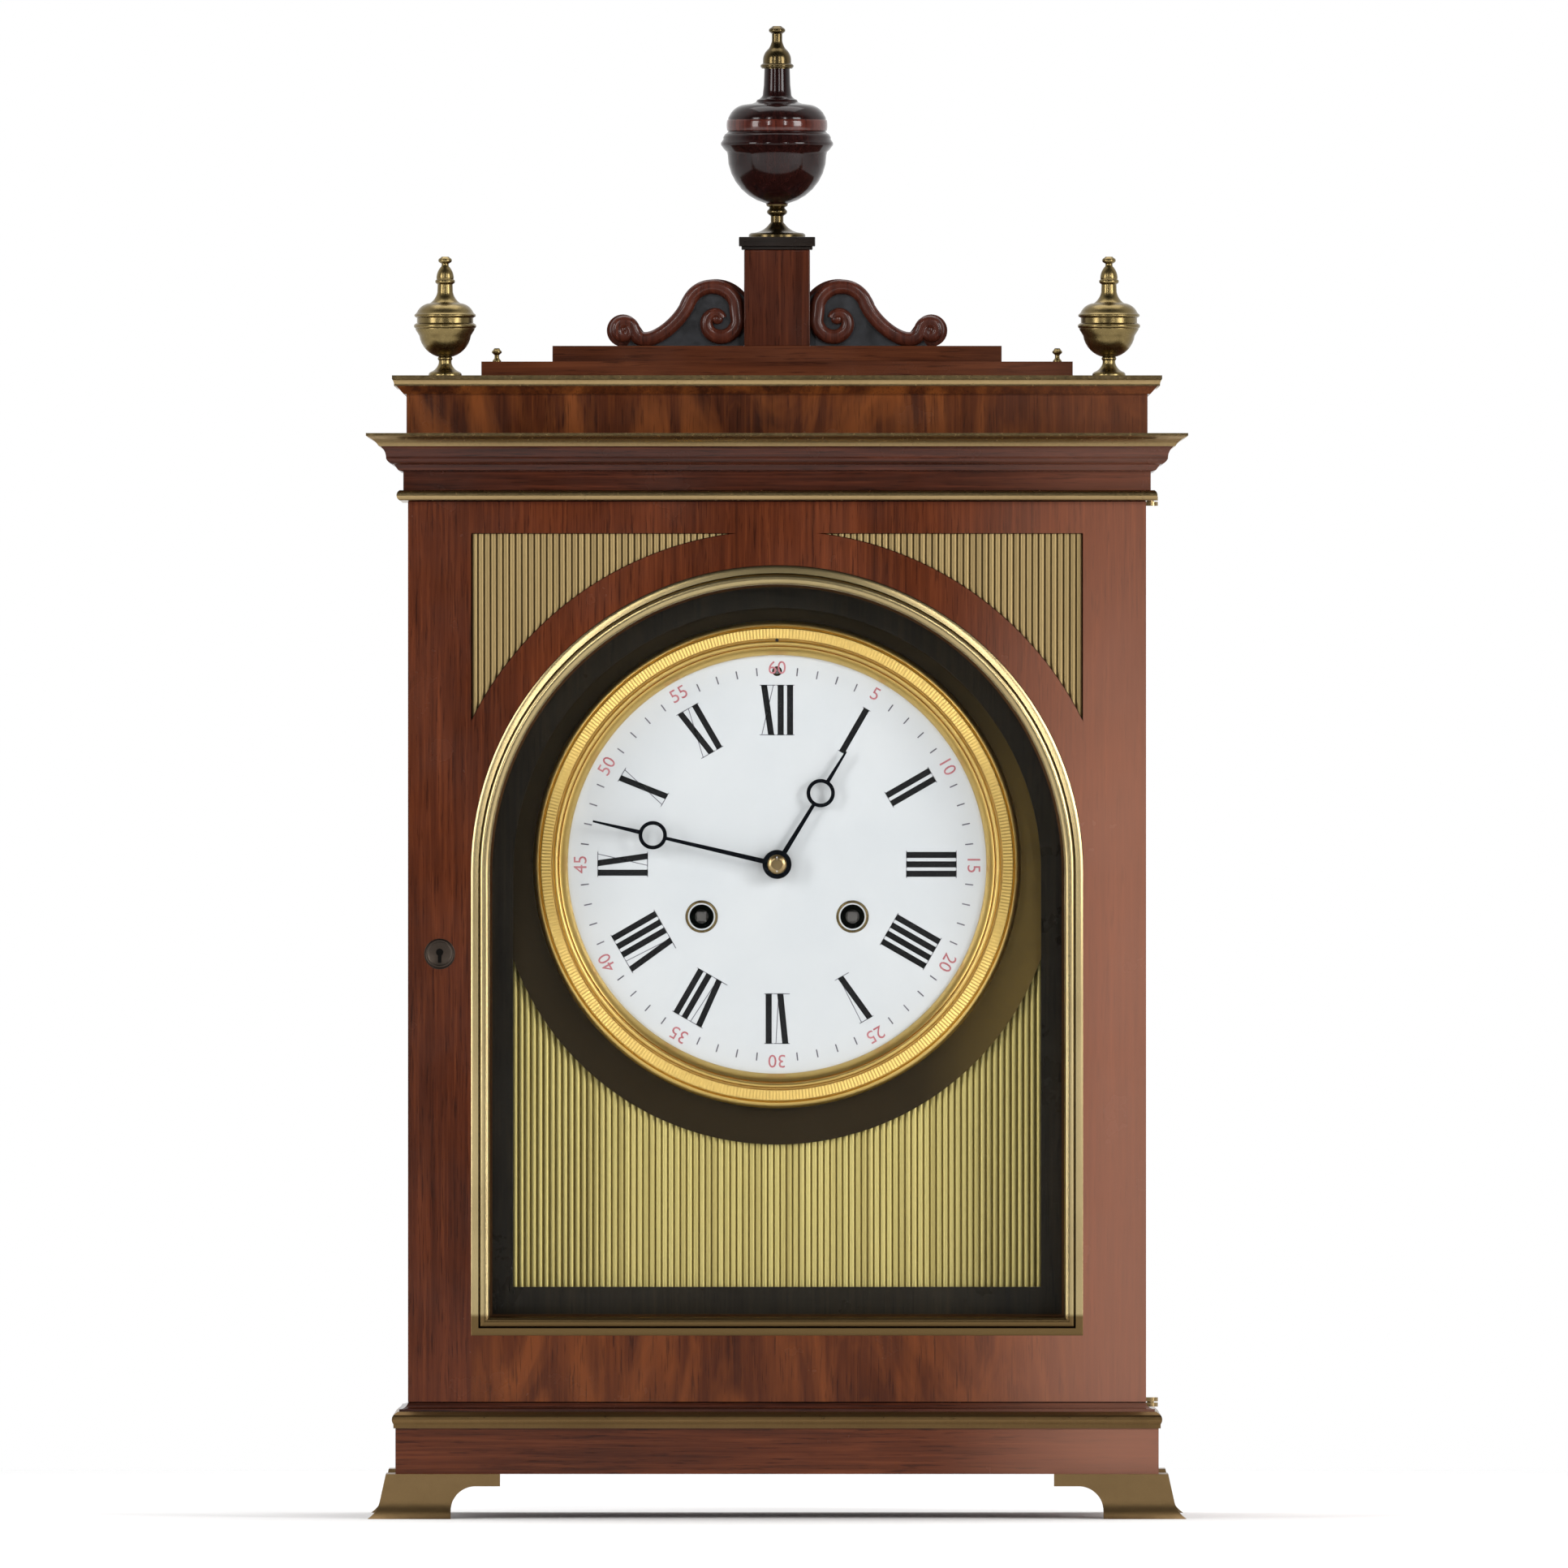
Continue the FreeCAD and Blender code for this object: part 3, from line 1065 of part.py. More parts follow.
# ---------------------------------------------------------------- escapement and pendulum
pendulum_y = front + s.pendulum_setback
crutch_reach = s.anchor_rise / 2
pallet_span, pallet_drop = s.escape_rise * 0.3, s.anchor_rise * 0.12
pallet_top = anchor_z - pallet_drop
pallet_foot = pallet_top - s.pallet_length
pallet_inner = pallet_span - s.pallet_width
arm_root = pallet_top - s.anchor_arm / 3
anchor_arms = prism("anchor_arms", "XZ_Plane", [
    (0, anchor_z + s.anchor_arm), (pallet_span, pallet_top), (pallet_span, pallet_foot),
    (pallet_inner, pallet_foot), (pallet_inner, arm_root), (0, anchor_z - s.anchor_arm * 0.7),
    (-pallet_inner, arm_root), (-pallet_inner, pallet_foot), (-pallet_span, pallet_foot),
    (-pallet_span, pallet_top),
], escape_wheel_y, thick)
fork_inner = s.rod_radius + s.running_clearance
fork_outer = fork_inner + s.crutch_fork
fork_z = anchor_z - crutch_reach
crutch_y = pendulum_y - s.rod_radius * 3
keep("anchor", fuse(
    "anchor_pieces",
    anchor_arms,
    rod("anchor_shaft", s.arbor_radius, (0, arbor_start, anchor_z), crutch_y),
    block("crutch", (-s.arbor_radius, crutch_y - s.arbor_radius, fork_z),
          (s.arbor_radius, crutch_y + s.arbor_radius, anchor_z)),
    block("fork_bridge", (-fork_outer, crutch_y - s.arbor_radius, fork_z - s.crutch_fork),
          (fork_outer, crutch_y + s.arbor_radius, fork_z + s.crutch_fork)),
    block("fork_right", (fork_inner, crutch_y, fork_z - s.crutch_fork),
          (fork_outer, pendulum_y + s.rod_radius, fork_z + s.crutch_fork)),
    block("fork_left", (-fork_outer, crutch_y, fork_z - s.crutch_fork),
          (-fork_inner, pendulum_y + s.rod_radius, fork_z + s.crutch_fork))))
bob_z = anchor_z - s.pendulum_reach
bob_half = s.bob_thickness / 2
bob_rim = s.bob_edge / 2
bob = turned("bob", [
    (-bob_half, 0), (bob_half, 0), (bob_half, s.bob_face), (bob_half * 0.7, s.bob_radius * 0.55),
    (bob_rim, s.bob_radius), (-bob_rim, s.bob_radius), (-bob_half * 0.7, s.bob_radius * 0.55),
    (-bob_half, s.bob_face),
], lying=True)
move(bob, 0, pendulum_y, bob_z)
hook_z = anchor_z + s.arbor_radius * 3 - s.arbor_gap
rod_foot = bob_z - s.bob_radius - s.rod_tail
spring_half = s.spring_thickness / 2
nut_z = bob_z - s.bob_radius - s.rating_nut_height * 1.5
keep("pendulum", fuse(
    "pendulum_pieces",
    post("pendulum_rod", s.rod_radius, (0, pendulum_y, rod_foot), anchor_z - rod_foot),
    block("suspension_spring", (-s.rod_radius, pendulum_y - spring_half, anchor_z - s.rod_radius),
          (s.rod_radius, pendulum_y + spring_half, hook_z)),
    bob,
    post("rating_nut", s.rod_radius * 2.5, (0, pendulum_y, nut_z), s.rating_nut_height)))

# ---------------------------------------------------------------- bell and hammer
bell_y = front + s.bell_setback
bell_z = z_dial + s.bell_rise
bell_crown = bell_y + s.bell_depth
bell_shell = turned("bell_shell", [
    (bell_y, s.bell_radius - s.bell_wall),
    (bell_y, s.bell_radius, -0.38),
    (bell_crown, s.bell_wall * 2),
    (bell_crown, 0),
    (bell_crown - s.bell_wall, 0),
    (bell_crown - s.bell_wall, s.bell_wall * 2, 0.38),
], lying=True)
move(bell_shell, 0, 0, bell_z)
stand_x = -(s.bell_radius + s.bell_post_gap)
stand_y = bell_crown + s.pillar_radius * 2
stand_half = s.pillar_radius
bell_stand = fuse(
    "bell_stand",
    rod("bell_stem", s.rod_radius * 1.5, (0, bell_crown, bell_z), stand_y),
    block("bell_strap", (stand_x - stand_half, stand_y, bell_z - stand_half * 3),
          (stand_half, stand_y + s.bell_wall, bell_z + stand_half)),
    rod("bell_post", s.rod_radius * 1.5, (stand_x, train_rear, bell_z - stand_half * 2), stand_y))
keep("bell", group("bell_and_stand", bell_shell, bell_stand))
hammer_x, hammer_z = -(s.bell_radius + s.rod_radius * 5), bell_z + s.hammer_rise
head_x = -(s.bell_radius + s.pillar_radius + s.arbor_gap * 2)
hammer_y = bell_y + s.bell_wall * 3
keep("hammer", fuse(
    "hammer_pieces",
    rod("hammer_shaft", s.rod_radius, (hammer_x, train_rear + s.arbor_gap, hammer_z), hammer_y),
    prism("hammer_arm", "XZ_Plane", [
        (hammer_x - s.rod_radius, hammer_z + s.rod_radius), (head_x - s.rod_radius * 0.8, bell_z),
        (head_x + s.rod_radius * 0.8, bell_z),
        (hammer_x + s.rod_radius, hammer_z + s.rod_radius)], hammer_y, s.bell_wall),
    rod("hammer_head", s.pillar_radius, (head_x, hammer_y - s.bell_wall, bell_z),
        hammer_y + s.bell_wall * 2)))

# ---------------------------------------------------------------- back door
back_face = back - s.back_recess
back_inside = back_face - s.back_door_thickness
hinge_axis_x = inner_half - s.back_barrel - s.running_clearance
hinge_axis_y = back - s.back_barrel
leaf_edge = hinge_axis_x * 2 - inner_half
door_right, door_left = leaf_edge, s.back_door_gap - inner_half
back_low, back_high = z_body + s.back_door_gap, z_frieze - s.back_door_gap
back_board = block("back_board", (door_left, back_inside, back_low), (door_right, back_face, back_high))
back_opening = block("back_opening",
                     (door_left + s.back_frame_width, back_inside, back_low + s.back_frame_width),
                     (door_right - s.back_frame_width, back_face, back_high - s.back_frame_width))
keep("back_door_frame", cut("back_frame", back_board, back_opening))
pane_inset = s.back_frame_width + s.sash_fit
pane_y = (back_inside + back_face - s.glass_thickness) / 2
keep("back_door_glass", block("back_pane", (door_left + pane_inset, pane_y, back_low + pane_inset),
                              (door_right - pane_inset, pane_y + s.glass_thickness,
                               back_high - pane_inset)))
case_leaves, door_leaves = [], []
low_hinge = back_low + s.back_hinge_inset
high_hinge = back_high - s.back_hinge_inset - s.back_hinge_height
for name, hinge_z in (("low", low_hinge), ("high", high_hinge)):
    half_height = s.back_hinge_height / 2
    middle_z = hinge_z + half_height
    axis = (hinge_axis_x, hinge_axis_y)
    case_leaves.append(fuse(
        name + "_case_leaf",
        block(name + "_case_flap", (inner_half - s.back_leaf, back_face - s.back_leaf_width, hinge_z),
              (inner_half, hinge_axis_y, middle_z)),
        post(name + "_case_knuckle", s.back_barrel, axis + (hinge_z,), half_height),
        post(name + "_pin", s.back_pin, axis + (middle_z,), half_height)))
    knuckle_z = middle_z + s.running_clearance
    knuckle_height = half_height - s.running_clearance
    door_leaves.append(cut(
        name + "_door_leaf",
        fuse(name + "_door_flap",
             block(name + "_door_plate", (leaf_edge, back_face - s.back_leaf_width, knuckle_z),
                   (leaf_edge + s.back_leaf, hinge_axis_y, hinge_z + s.back_hinge_height)),
             post(name + "_door_knuckle", s.back_barrel, axis + (knuckle_z,), knuckle_height)),
        post(name + "_knuckle_bore", s.back_pin + s.pivot_fit, axis + (knuckle_z,), knuckle_height)))
keep("back_hinge_case_leaves", group("case_leaves", *case_leaves))
keep("back_hinge_door_leaves", group("door_leaves", *door_leaves))

# ---------------------------------------------------------------- check and write
doc.recompute()
for thing in doc.Objects:
    if "Invalid" in thing.State or "Error" in thing.State:
        raise RuntimeError("%s failed: %s" % (thing.Name, thing.State))
for node, thing in nodes.items():
    if thing.Shape.isNull() or not thing.Shape.isValid() or not thing.Shape.Solids:
        raise RuntimeError("%s has no valid solid" % node)

os.makedirs("parts", exist_ok=True)
for node, thing in nodes.items():
    thing.Shape.exportStep("parts/%s.step" % node)
print(len(nodes), "nodes")
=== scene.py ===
import math

import bmesh
import bpy
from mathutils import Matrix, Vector


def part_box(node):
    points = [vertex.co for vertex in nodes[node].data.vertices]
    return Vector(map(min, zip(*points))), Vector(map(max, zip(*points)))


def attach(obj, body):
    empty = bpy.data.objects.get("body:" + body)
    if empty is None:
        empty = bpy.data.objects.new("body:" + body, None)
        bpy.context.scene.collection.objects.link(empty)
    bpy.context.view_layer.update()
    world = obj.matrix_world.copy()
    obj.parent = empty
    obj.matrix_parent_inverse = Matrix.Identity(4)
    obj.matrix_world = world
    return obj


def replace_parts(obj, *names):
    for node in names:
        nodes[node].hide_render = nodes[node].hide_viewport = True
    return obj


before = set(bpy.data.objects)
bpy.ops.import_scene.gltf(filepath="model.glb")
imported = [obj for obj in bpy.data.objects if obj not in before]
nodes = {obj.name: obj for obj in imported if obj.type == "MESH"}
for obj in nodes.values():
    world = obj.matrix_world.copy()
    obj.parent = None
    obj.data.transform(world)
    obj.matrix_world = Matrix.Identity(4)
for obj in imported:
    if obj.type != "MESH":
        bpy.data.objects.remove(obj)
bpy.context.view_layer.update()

MM = 0.001


# ---------------------------------------------------------------- sizes read from the frame
def edge(node, side, axis):
    """One side of a node's box at rest: side 0 is low and 1 is high, axis 0, 1, 2 is X, Y, Z."""
    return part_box(node)[side][axis]


STILE_X = edge("door_bottom_rail", 1, 0)
FRONT = edge("door_stile_right", 0, 1)
MIDDLE_Y = (edge("pedestal", 0, 1) + edge("pedestal", 1, 1)) / 2
Z_DIAL = (edge("dial", 0, 2) + edge("dial", 1, 2)) / 2
Z_ARCH = edge("door_brass_sash", 1, 2) - STILE_X
DIAL_FRONT = edge("dial", 0, 1)
SASH_FRONT = edge("door_brass_sash", 0, 1)
SASH_BOTTOM = edge("door_brass_sash", 0, 2)
REED_DEPTH, REED_PITCH = 0.9 * MM, 2.15 * MM


# ---------------------------------------------------------------- node materials
def srgb(red, green, blue):
    """A colour as an eye or a screen gives it, 0 to 255, made linear."""
    def linear(level):
        level /= 255.0
        return level / 12.92 if level <= 0.04045 else ((level + 0.055) / 1.055) ** 2.4
    return (linear(red), linear(green), linear(blue), 1.0)


class Shader:
    """A node material under construction."""

    def __init__(self, name):
        self.material = bpy.data.materials.new(name)
        self.material.use_nodes = True
        self.tree = self.material.node_tree
        self.surface = self.tree.nodes["Principled BSDF"]
        self.place = self.add("ShaderNodeTexCoord").outputs["Object"]

    def add(self, kind, **values):
        node = self.tree.nodes.new(kind)
        for name, value in values.items():
            setattr(node, name, value)
        return node

    def link(self, output, target):
        self.tree.links.new(output, target)

    def stretched(self, scale):
        mapping = self.add("ShaderNodeMapping")
        mapping.inputs["Scale"].default_value = scale
        self.link(self.place, mapping.inputs["Vector"])
        return mapping.outputs["Vector"]

    def coordinates(self):
        """The three coordinates of a point of the surface, as separate outputs."""
        split = self.add("ShaderNodeSeparateXYZ")
        self.link(self.place, split.inputs["Vector"])
        return [split.outputs[letter] for letter in "XYZ"]

    def product(self, one, other):
        node = self.add("ShaderNodeMath", operation="MULTIPLY")
        self.link(one, node.inputs[0])
        self.link(other, node.inputs[1])
        return node.outputs["Value"]

    def noise(self, vector, scale=1.0, detail=4.0, roughness=0.55, distortion=0.0):
        node = self.add("ShaderNodeTexNoise")
        self.link(vector, node.inputs["Vector"])
        node.inputs["Scale"].default_value = scale
        node.inputs["Detail"].default_value = detail
        node.inputs["Roughness"].default_value = roughness
        node.inputs["Distortion"].default_value = distortion
        return node.outputs["Fac"]

    def ramp(self, factor, stops):
        node = self.add("ShaderNodeValToRGB")
        elements = node.color_ramp.elements
        while len(elements) < len(stops):
            elements.new(0.5)
        for element, (position, colour) in zip(elements, stops):
            element.position = position
            element.color = colour if len(colour) == 4 else tuple(colour) + (1.0,)
        self.link(factor, node.inputs["Fac"])
        return node.outputs["Color"]

    def grey_ramp(self, factor, low, high, low_value, high_value):
        return self.ramp(factor, [(low, (low_value,) * 3), (high, (high_value,) * 3)])

    def mix(self, factor, one, other, blend="MIX"):
        node = self.add("ShaderNodeMix", data_type="RGBA", blend_type=blend)
        sockets = (node.inputs[0], node.inputs[6], node.inputs[7])
        for socket, value in zip(sockets, (factor, one, other)):
            if hasattr(value, "is_linked") or hasattr(value, "links"):
                self.link(value, socket)
            else:
                socket.default_value = value
        return node.outputs[2]

    def bump(self, height, strength, distance):
        node = self.add("ShaderNodeBump")
        node.inputs["Strength"].default_value = strength
        node.inputs["Distance"].default_value = distance
        self.link(height, node.inputs["Height"])
        self.link(node.outputs["Normal"], self.surface.inputs["Normal"])

    def set(self, **values):
        for name, value in values.items():
            self.surface.inputs[name.replace("_", " ")].default_value = value


def along(axis, across, lengthwise):
    """A texture scale that runs the grain along one axis."""
    return tuple(lengthwise if letter == axis else across for letter in "XYZ")


def between(shader, coordinate, low, high, low_value, high_value):
    """A value that passes smoothly from one level to another along a coordinate."""
    level = shader.add("ShaderNodeMapRange", interpolation_type="SMOOTHSTEP")
    for socket, value in (("From Min", low), ("From Max", high), ("To Min", low_value),
                          ("To Max", high_value)):
        level.inputs[socket].default_value = value
    shader.link(coordinate, level.inputs["Value"])
    return level.outputs["Result"]


# Painted sheen: a pale haze mixed into the mahogany towards the right, standing in for reflected
# light from the right-hand side, weaker towards the top.
PAINTED_SHEEN = srgb(148, 104, 86)
SHEEN_FROM_X, SHEEN_TO_X = 45 * MM, 122 * MM
SHEEN_FULL_BELOW_Z, SHEEN_WEAKER_ABOVE_Z, SHEEN_SHARE_AT_TOP = 240 * MM, 400 * MM, 0.35


def faded(shader, colour, amount):
    """Mahogany with a painted sheen: a pale pink haze standing in for the reflection of the light
    from the right, growing towards its right-hand end, weakest near the top.
    """
    x, _, z = shader.coordinates()
    across = between(shader, x, SHEEN_FROM_X, SHEEN_TO_X, 0.0, amount)
    upward = between(shader, z, SHEEN_FULL_BELOW_Z, SHEEN_WEAKER_ABOVE_Z, 1.0, SHEEN_SHARE_AT_TOP)
    return shader.mix(shader.product(across, upward), colour, PAINTED_SHEEN)


def wood(name, dark, middle, light, grain, figure, flame=0.0, roughness=0.22, coat=0.06,
         sheen=0.55):
    """Polished wood: broad figure, fine streaks and dark open pores along the grain."""
    shader = Shader(name)
    dark, middle, light = srgb(*dark), srgb(*middle), srgb(*light)
    broad = shader.noise(shader.stretched(along(grain, 26.0, 5.0)), 1.0, 5.0, 0.6, 0.8)
    streak = shader.noise(shader.stretched(along(grain, 620.0, 17.0)), 1.0, 6.0, 0.62, 0.4)
    pores = shader.noise(shader.stretched(along(grain, 1500.0, 75.0)), 1.0, 3.0, 0.6)
    colour = shader.ramp(broad, [(0.30, dark), (0.5, middle), (0.72, light)])
    streaks = shader.ramp(streak, [(0.32, dark), (0.52, middle), (0.7, light)])
    colour = shader.mix(1.0 - figure, colour, streaks)
    if flame:
        wavy = shader.noise(shader.stretched(along(grain, 42.0, 11.0)), 1.0, 3.0, 0.5, 2.2)
        colour = shader.mix(shader.grey_ramp(wavy, 0.45, 0.66, 0.0, flame), colour, light)
    open_pores = shader.grey_ramp(pores, 0.56, 0.66, 0.0, 0.55)
    colour = shader.mix(open_pores, colour, tuple(part * 0.35 for part in dark[:3]) + (1.0,))
    # Painted sheen towards the right-hand end, standing in for reflected light.
    if sheen:
        colour = faded(shader, colour, sheen)
    shader.link(colour, shader.surface.inputs["Base Color"])
    worn = shader.noise(shader.stretched((30.0, 30.0, 30.0)), 1.0, 5.0, 0.6)
    shader.link(shader.grey_ramp(worn, 0.35, 0.7, roughness - 0.05, roughness + 0.08),
                shader.surface.inputs["Roughness"])
    shader.bump(pores, 0.05, 0.0002)
    shader.set(Coat_Weight=coat, Coat_Roughness=0.08, Specular_IOR_Level=0.2)
    return shader.material


def metal(name, bright, dull, roughness, tarnish):
    """Brass or steel with cloudy tarnish and fine rubbing marks."""
    shader = Shader(name)
    bright, dull = srgb(*bright), srgb(*dull)
    cloud = shader.noise(shader.stretched((24.0, 24.0, 24.0)), 1.0, 6.0, 0.6, 0.3)
    marks = shader.noise(shader.stretched((60.0, 60.0, 60.0)), 12.0, 5.0, 0.6)
    patches = shader.grey_ramp(cloud, 0.2, 0.85, tarnish * 0.45, tarnish)
    colour = shader.mix(patches, bright, dull)
    colour = shader.mix(shader.grey_ramp(marks, 0.4, 0.8, 0.0, tarnish * 0.3), colour, dull)
    shader.link(colour, shader.surface.inputs["Base Color"])
    shader.link(shader.grey_ramp(marks, 0.3, 0.75, roughness - 0.03, roughness + 0.05),
                shader.surface.inputs["Roughness"])
    shader.set(Metallic=1.0)
    return shader.material


def two_tone_brass(name, bright, dull, hollow):
    """Brass painted with light and shade: its bead bright where lit on the uprights, painted shade
    dulling it along the bottom rail, and darkest in its hollows.
    """
    shader = Shader(name)
    bright, dull, hollow = srgb(*bright), srgb(*dull), srgb(*hollow)
    _, y, z = shader.coordinates()
    sunken = between(shader, y, SASH_FRONT + 0.9 * MM, SASH_FRONT + 1.5 * MM, 0.0, 1.0)
    upright = shader.mix(sunken, bright, hollow)
    lowest = shader.mix(sunken, dull, hollow)
    # Painted shade: the bead turns dull along the bottom rail, where it catches no light.
    near_rail = between(shader, z, SASH_BOTTOM + 6.2 * MM, SASH_BOTTOM + 7.8 * MM, 1.0, 0.0)
    colour = shader.mix(near_rail, upright, lowest)
    cloud = shader.noise(shader.stretched((30.0, 30.0, 30.0)), 1.0, 4.0, 0.6)
    colour = shader.mix(shader.grey_ramp(cloud, 0.3, 0.8, 0.0, 0.35), colour, dull)
    shader.link(colour, shader.surface.inputs["Base Color"])
    shader.set(Metallic=1.0, Roughness=0.27)
    return shader.material


def shaded_bronze(name, dark, bright):
    """Dark lacquered sheet with a painted highlight that brightens it towards its lower right side.
    """
    shader = Shader(name)
    dark, bright = srgb(*dark), srgb(*bright)
    x, _, z = shader.coordinates()
    # Painted highlight: brighter towards the right, fading towards the top.
    across = between(shader, x, 45 * MM, 92 * MM, 0.0, 1.0)
    upward = between(shader, z, Z_DIAL + 10 * MM, Z_DIAL + 75 * MM, 1.0, 0.25)
    cloud = shader.noise(shader.stretched((34.0, 34.0, 34.0)), 1.0, 5.0, 0.6)
    colour = shader.mix(shader.product(across, upward), dark, bright)
    colour = shader.mix(shader.grey_ramp(cloud, 0.35, 0.75, 0.0, 0.3), colour, dark)
    shader.link(colour, shader.surface.inputs["Base Color"])
    shader.link(shader.grey_ramp(cloud, 0.3, 0.7, 0.32, 0.42), shader.surface.inputs["Roughness"])
    shader.set(Metallic=0.6, Specular_IOR_Level=0.2)
    return shader.material


def reeded_brass(name, crest, groove, crest_y):
    """Brass whose grooves between the reeds have darkened, with long upright streaks."""
    shader = Shader(name)
    crest, groove = srgb(*crest), srgb(*groove)
    _, y, _ = shader.coordinates()
    level = shader.add("ShaderNodeMapRange")
    level.inputs["From Min"].default_value = crest_y + REED_DEPTH * 0.1
    level.inputs["From Max"].default_value = crest_y + REED_DEPTH * 0.95
    shader.link(y, level.inputs["Value"])
    streak = shader.noise(shader.stretched((420.0, 1.0, 3.0)), 1.0, 3.0, 0.6)
    colour = shader.mix(level.outputs["Result"], crest, groove)
    colour = shader.mix(shader.grey_ramp(streak, 0.42, 0.66, 0.0, 0.45), colour, groove)
    shader.link(colour, shader.surface.inputs["Base Color"])
    shader.link(shader.grey_ramp(streak, 0.3, 0.7, 0.36, 0.52), shader.surface.inputs["Roughness"])
    shader.bump(streak, 0.06, 0.0002)
    shader.set(Metallic=0.75)
    return shader.material


def plain(name, colour, other, roughness, scale, coat=0.0, bump=0.0, reflection=0.5):
    """A nearly even finish with faint clouding, such as enamel, ink or paint."""
    shader = Shader(name)
    cloud = shader.noise(shader.stretched((scale,) * 3), 1.0, 5.0, 0.6)
    shader.link(shader.ramp(cloud, [(0.35, srgb(*colour)), (0.7, srgb(*other))]),
                shader.surface.inputs["Base Color"])
    shader.link(shader.grey_ramp(cloud, 0.3, 0.7, roughness * 0.8, roughness * 1.25),
                shader.surface.inputs["Roughness"])
    if bump:
        shader.bump(cloud, bump, 0.0003)
    shader.set(Coat_Weight=coat, Coat_Roughness=0.08, Specular_IOR_Level=reflection)
    return shader.material


def clear_glass(name):
    """Thin old glass with a faint smear."""
    shader = Shader(name)
    smear = shader.noise(shader.stretched((18.0, 18.0, 6.0)), 1.0, 4.0, 0.6, 1.0)
    shader.link(shader.ramp(smear, [(0.3, srgb(26, 32, 28)), (0.8, srgb(44, 48, 44))]),
                shader.surface.inputs["Base Color"])
    shader.link(shader.grey_ramp(smear, 0.3, 0.8, 0.02, 0.06), shader.surface.inputs["Roughness"])
    shader.set(Alpha=0.06)
    return shader.material


MAHOGANY = wood("mahogany_upright", (45, 19, 9), (76, 35, 18), (104, 52, 27), "Z", 0.45)
DIE_WOOD = wood("mahogany_die", (40, 18, 11), (68, 33, 21), (92, 47, 28), "Z", 0.4)
FLAME = wood("mahogany_flame", (46, 19, 8), (74, 34, 14), (106, 55, 24), "Z", 0.6, 0.8)
ATTIC = wood("mahogany_crossband", (36, 16, 8), (64, 30, 14), (104, 56, 25), "Z", 0.55, 0.9,
             sheen=0.3)
LONG_GRAIN = wood("mahogany_long", (44, 20, 10), (78, 37, 19), (104, 54, 29), "X", 0.4)
DARK_MOULDING = wood("mahogany_moulding", (30, 14, 9), (54, 25, 15), (84, 42, 26), "X", 0.4,
                     sheen=0.3)
STEP_WOOD = wood("mahogany_steps", (48, 23, 14), (78, 40, 23), (98, 54, 32), "X", 0.4)
PLUM = wood("plum_wood", (12, 5, 5), (30, 12, 11), (48, 20, 16), "Z", 0.4,
            roughness=0.14, coat=0.12, sheen=0.0)
BAND_WOOD = wood("band_wood", (42, 14, 10), (74, 32, 24), (96, 44, 32), "Z", 0.4,
                 roughness=0.18, coat=0.4, sheen=0.0)
SCROLL_WOOD = wood("scroll_wood", (44, 18, 12), (72, 33, 22), (92, 46, 32), "Z", 0.4,
                   roughness=0.3, coat=0.2, sheen=0.0)
CAP_WOOD = wood("cap_wood", (14, 11, 9), (30, 24, 20), (44, 35, 29), "X", 0.4,
                roughness=0.3, coat=0.2, sheen=0.0)
EBONISED = wood("ebonised_wood", (20, 15, 10), (34, 28, 19), (48, 40, 27), "Z", 0.4,
                roughness=0.3, coat=0.1, sheen=0.0)
INNER_WOOD = wood("inner_pine", (96, 62, 36), (132, 92, 56), (160, 120, 78), "X", 0.4,
                  roughness=0.6, coat=0.0, sheen=0.0)
CASE_BRASS = metal("case_brass", (178, 154, 110), (104, 84, 54), 0.24, 0.65)
BASE_BRASS = metal("base_brass", (130, 104, 68), (80, 60, 36), 0.3, 0.65)
FOOT_BRASS = metal("foot_brass", (142, 117, 80), (92, 72, 46), 0.36, 0.65)
# Sash brass: the lit colour of the bead, the painted shade of the bottom rail, and the colour of
# the hollows.
SASH_BRASS = two_tone_brass("sash_brass", (168, 151, 110), (98, 79, 50), (74, 48, 30))
GILT = metal("bezel_gilt", (232, 200, 120), (182, 148, 78), 0.33, 0.5)
ORNAMENT_BRASS = metal("ornament_brass", (150, 132, 88), (72, 58, 34), 0.28, 0.7)
URN_BRASS = metal("urn_brass", (104, 90, 60), (50, 40, 26), 0.24, 0.6)
BRONZE = shaded_bronze("surround_bronze", (48, 38, 22), (112, 92, 48))
COLLET_BRASS = metal("collet_brass", (190, 168, 124), (124, 100, 64), 0.3, 0.6)
MOVEMENT_BRASS = metal("movement_brass", (226, 192, 118), (186, 146, 78), 0.3, 0.4)
STEEL = metal("polished_steel", (196, 196, 198), (128, 128, 132), 0.25, 0.5)
DARK_STEEL = metal("dark_steel", (150, 148, 144), (78, 76, 74), 0.3, 0.5)
BLUED = metal("blued_steel", (26, 28, 36), (12, 13, 18), 0.3, 0.5)
DARK_METAL = metal("escutcheon_metal", (70, 62, 55), (34, 28, 25), 0.42, 0.7)
LOWER_REEDS = reeded_brass("lower_reeds", (194, 180, 114), (136, 119, 62),
                           edge("reeded_panel", 0, 1))
DOOR_REEDS = reeded_brass("door_reeds", (138, 118, 78), (76, 61, 34), edge("spandrel_reeds", 0, 1))
ENAMEL = plain("white_enamel", (219, 223, 225), (212, 217, 220), 0.14, 24.0, coat=0.5)
BLACK_INK = plain("black_numerals", (12, 12, 14), (24, 24, 27), 0.5, 40.0, reflection=0.15)
GREY_INK = plain("grey_ticks", (84, 82, 92), (120, 118, 128), 0.4, 160.0)
RED_INK = plain("red_numerals", (172, 92, 100), (196, 132, 138), 0.4, 300.0)
BLACK_PAINT = plain("black_ground", (14, 14, 17), (30, 32, 38), 0.35, 160.0, coat=0.2, bump=0.3)
# Painted shade: a near-black, barely reflecting finish that stands in for the shade inside holes.
HOLE_SHADE = plain("painted_hole_shade", (8, 7, 6), (16, 14, 12), 0.9, 40.0, reflection=0.05)
GLASS = clear_glass("clear_glass")
FLOOR = plain("pale_floor", (252, 252, 252), (250, 250, 250), 0.8, 2.0)

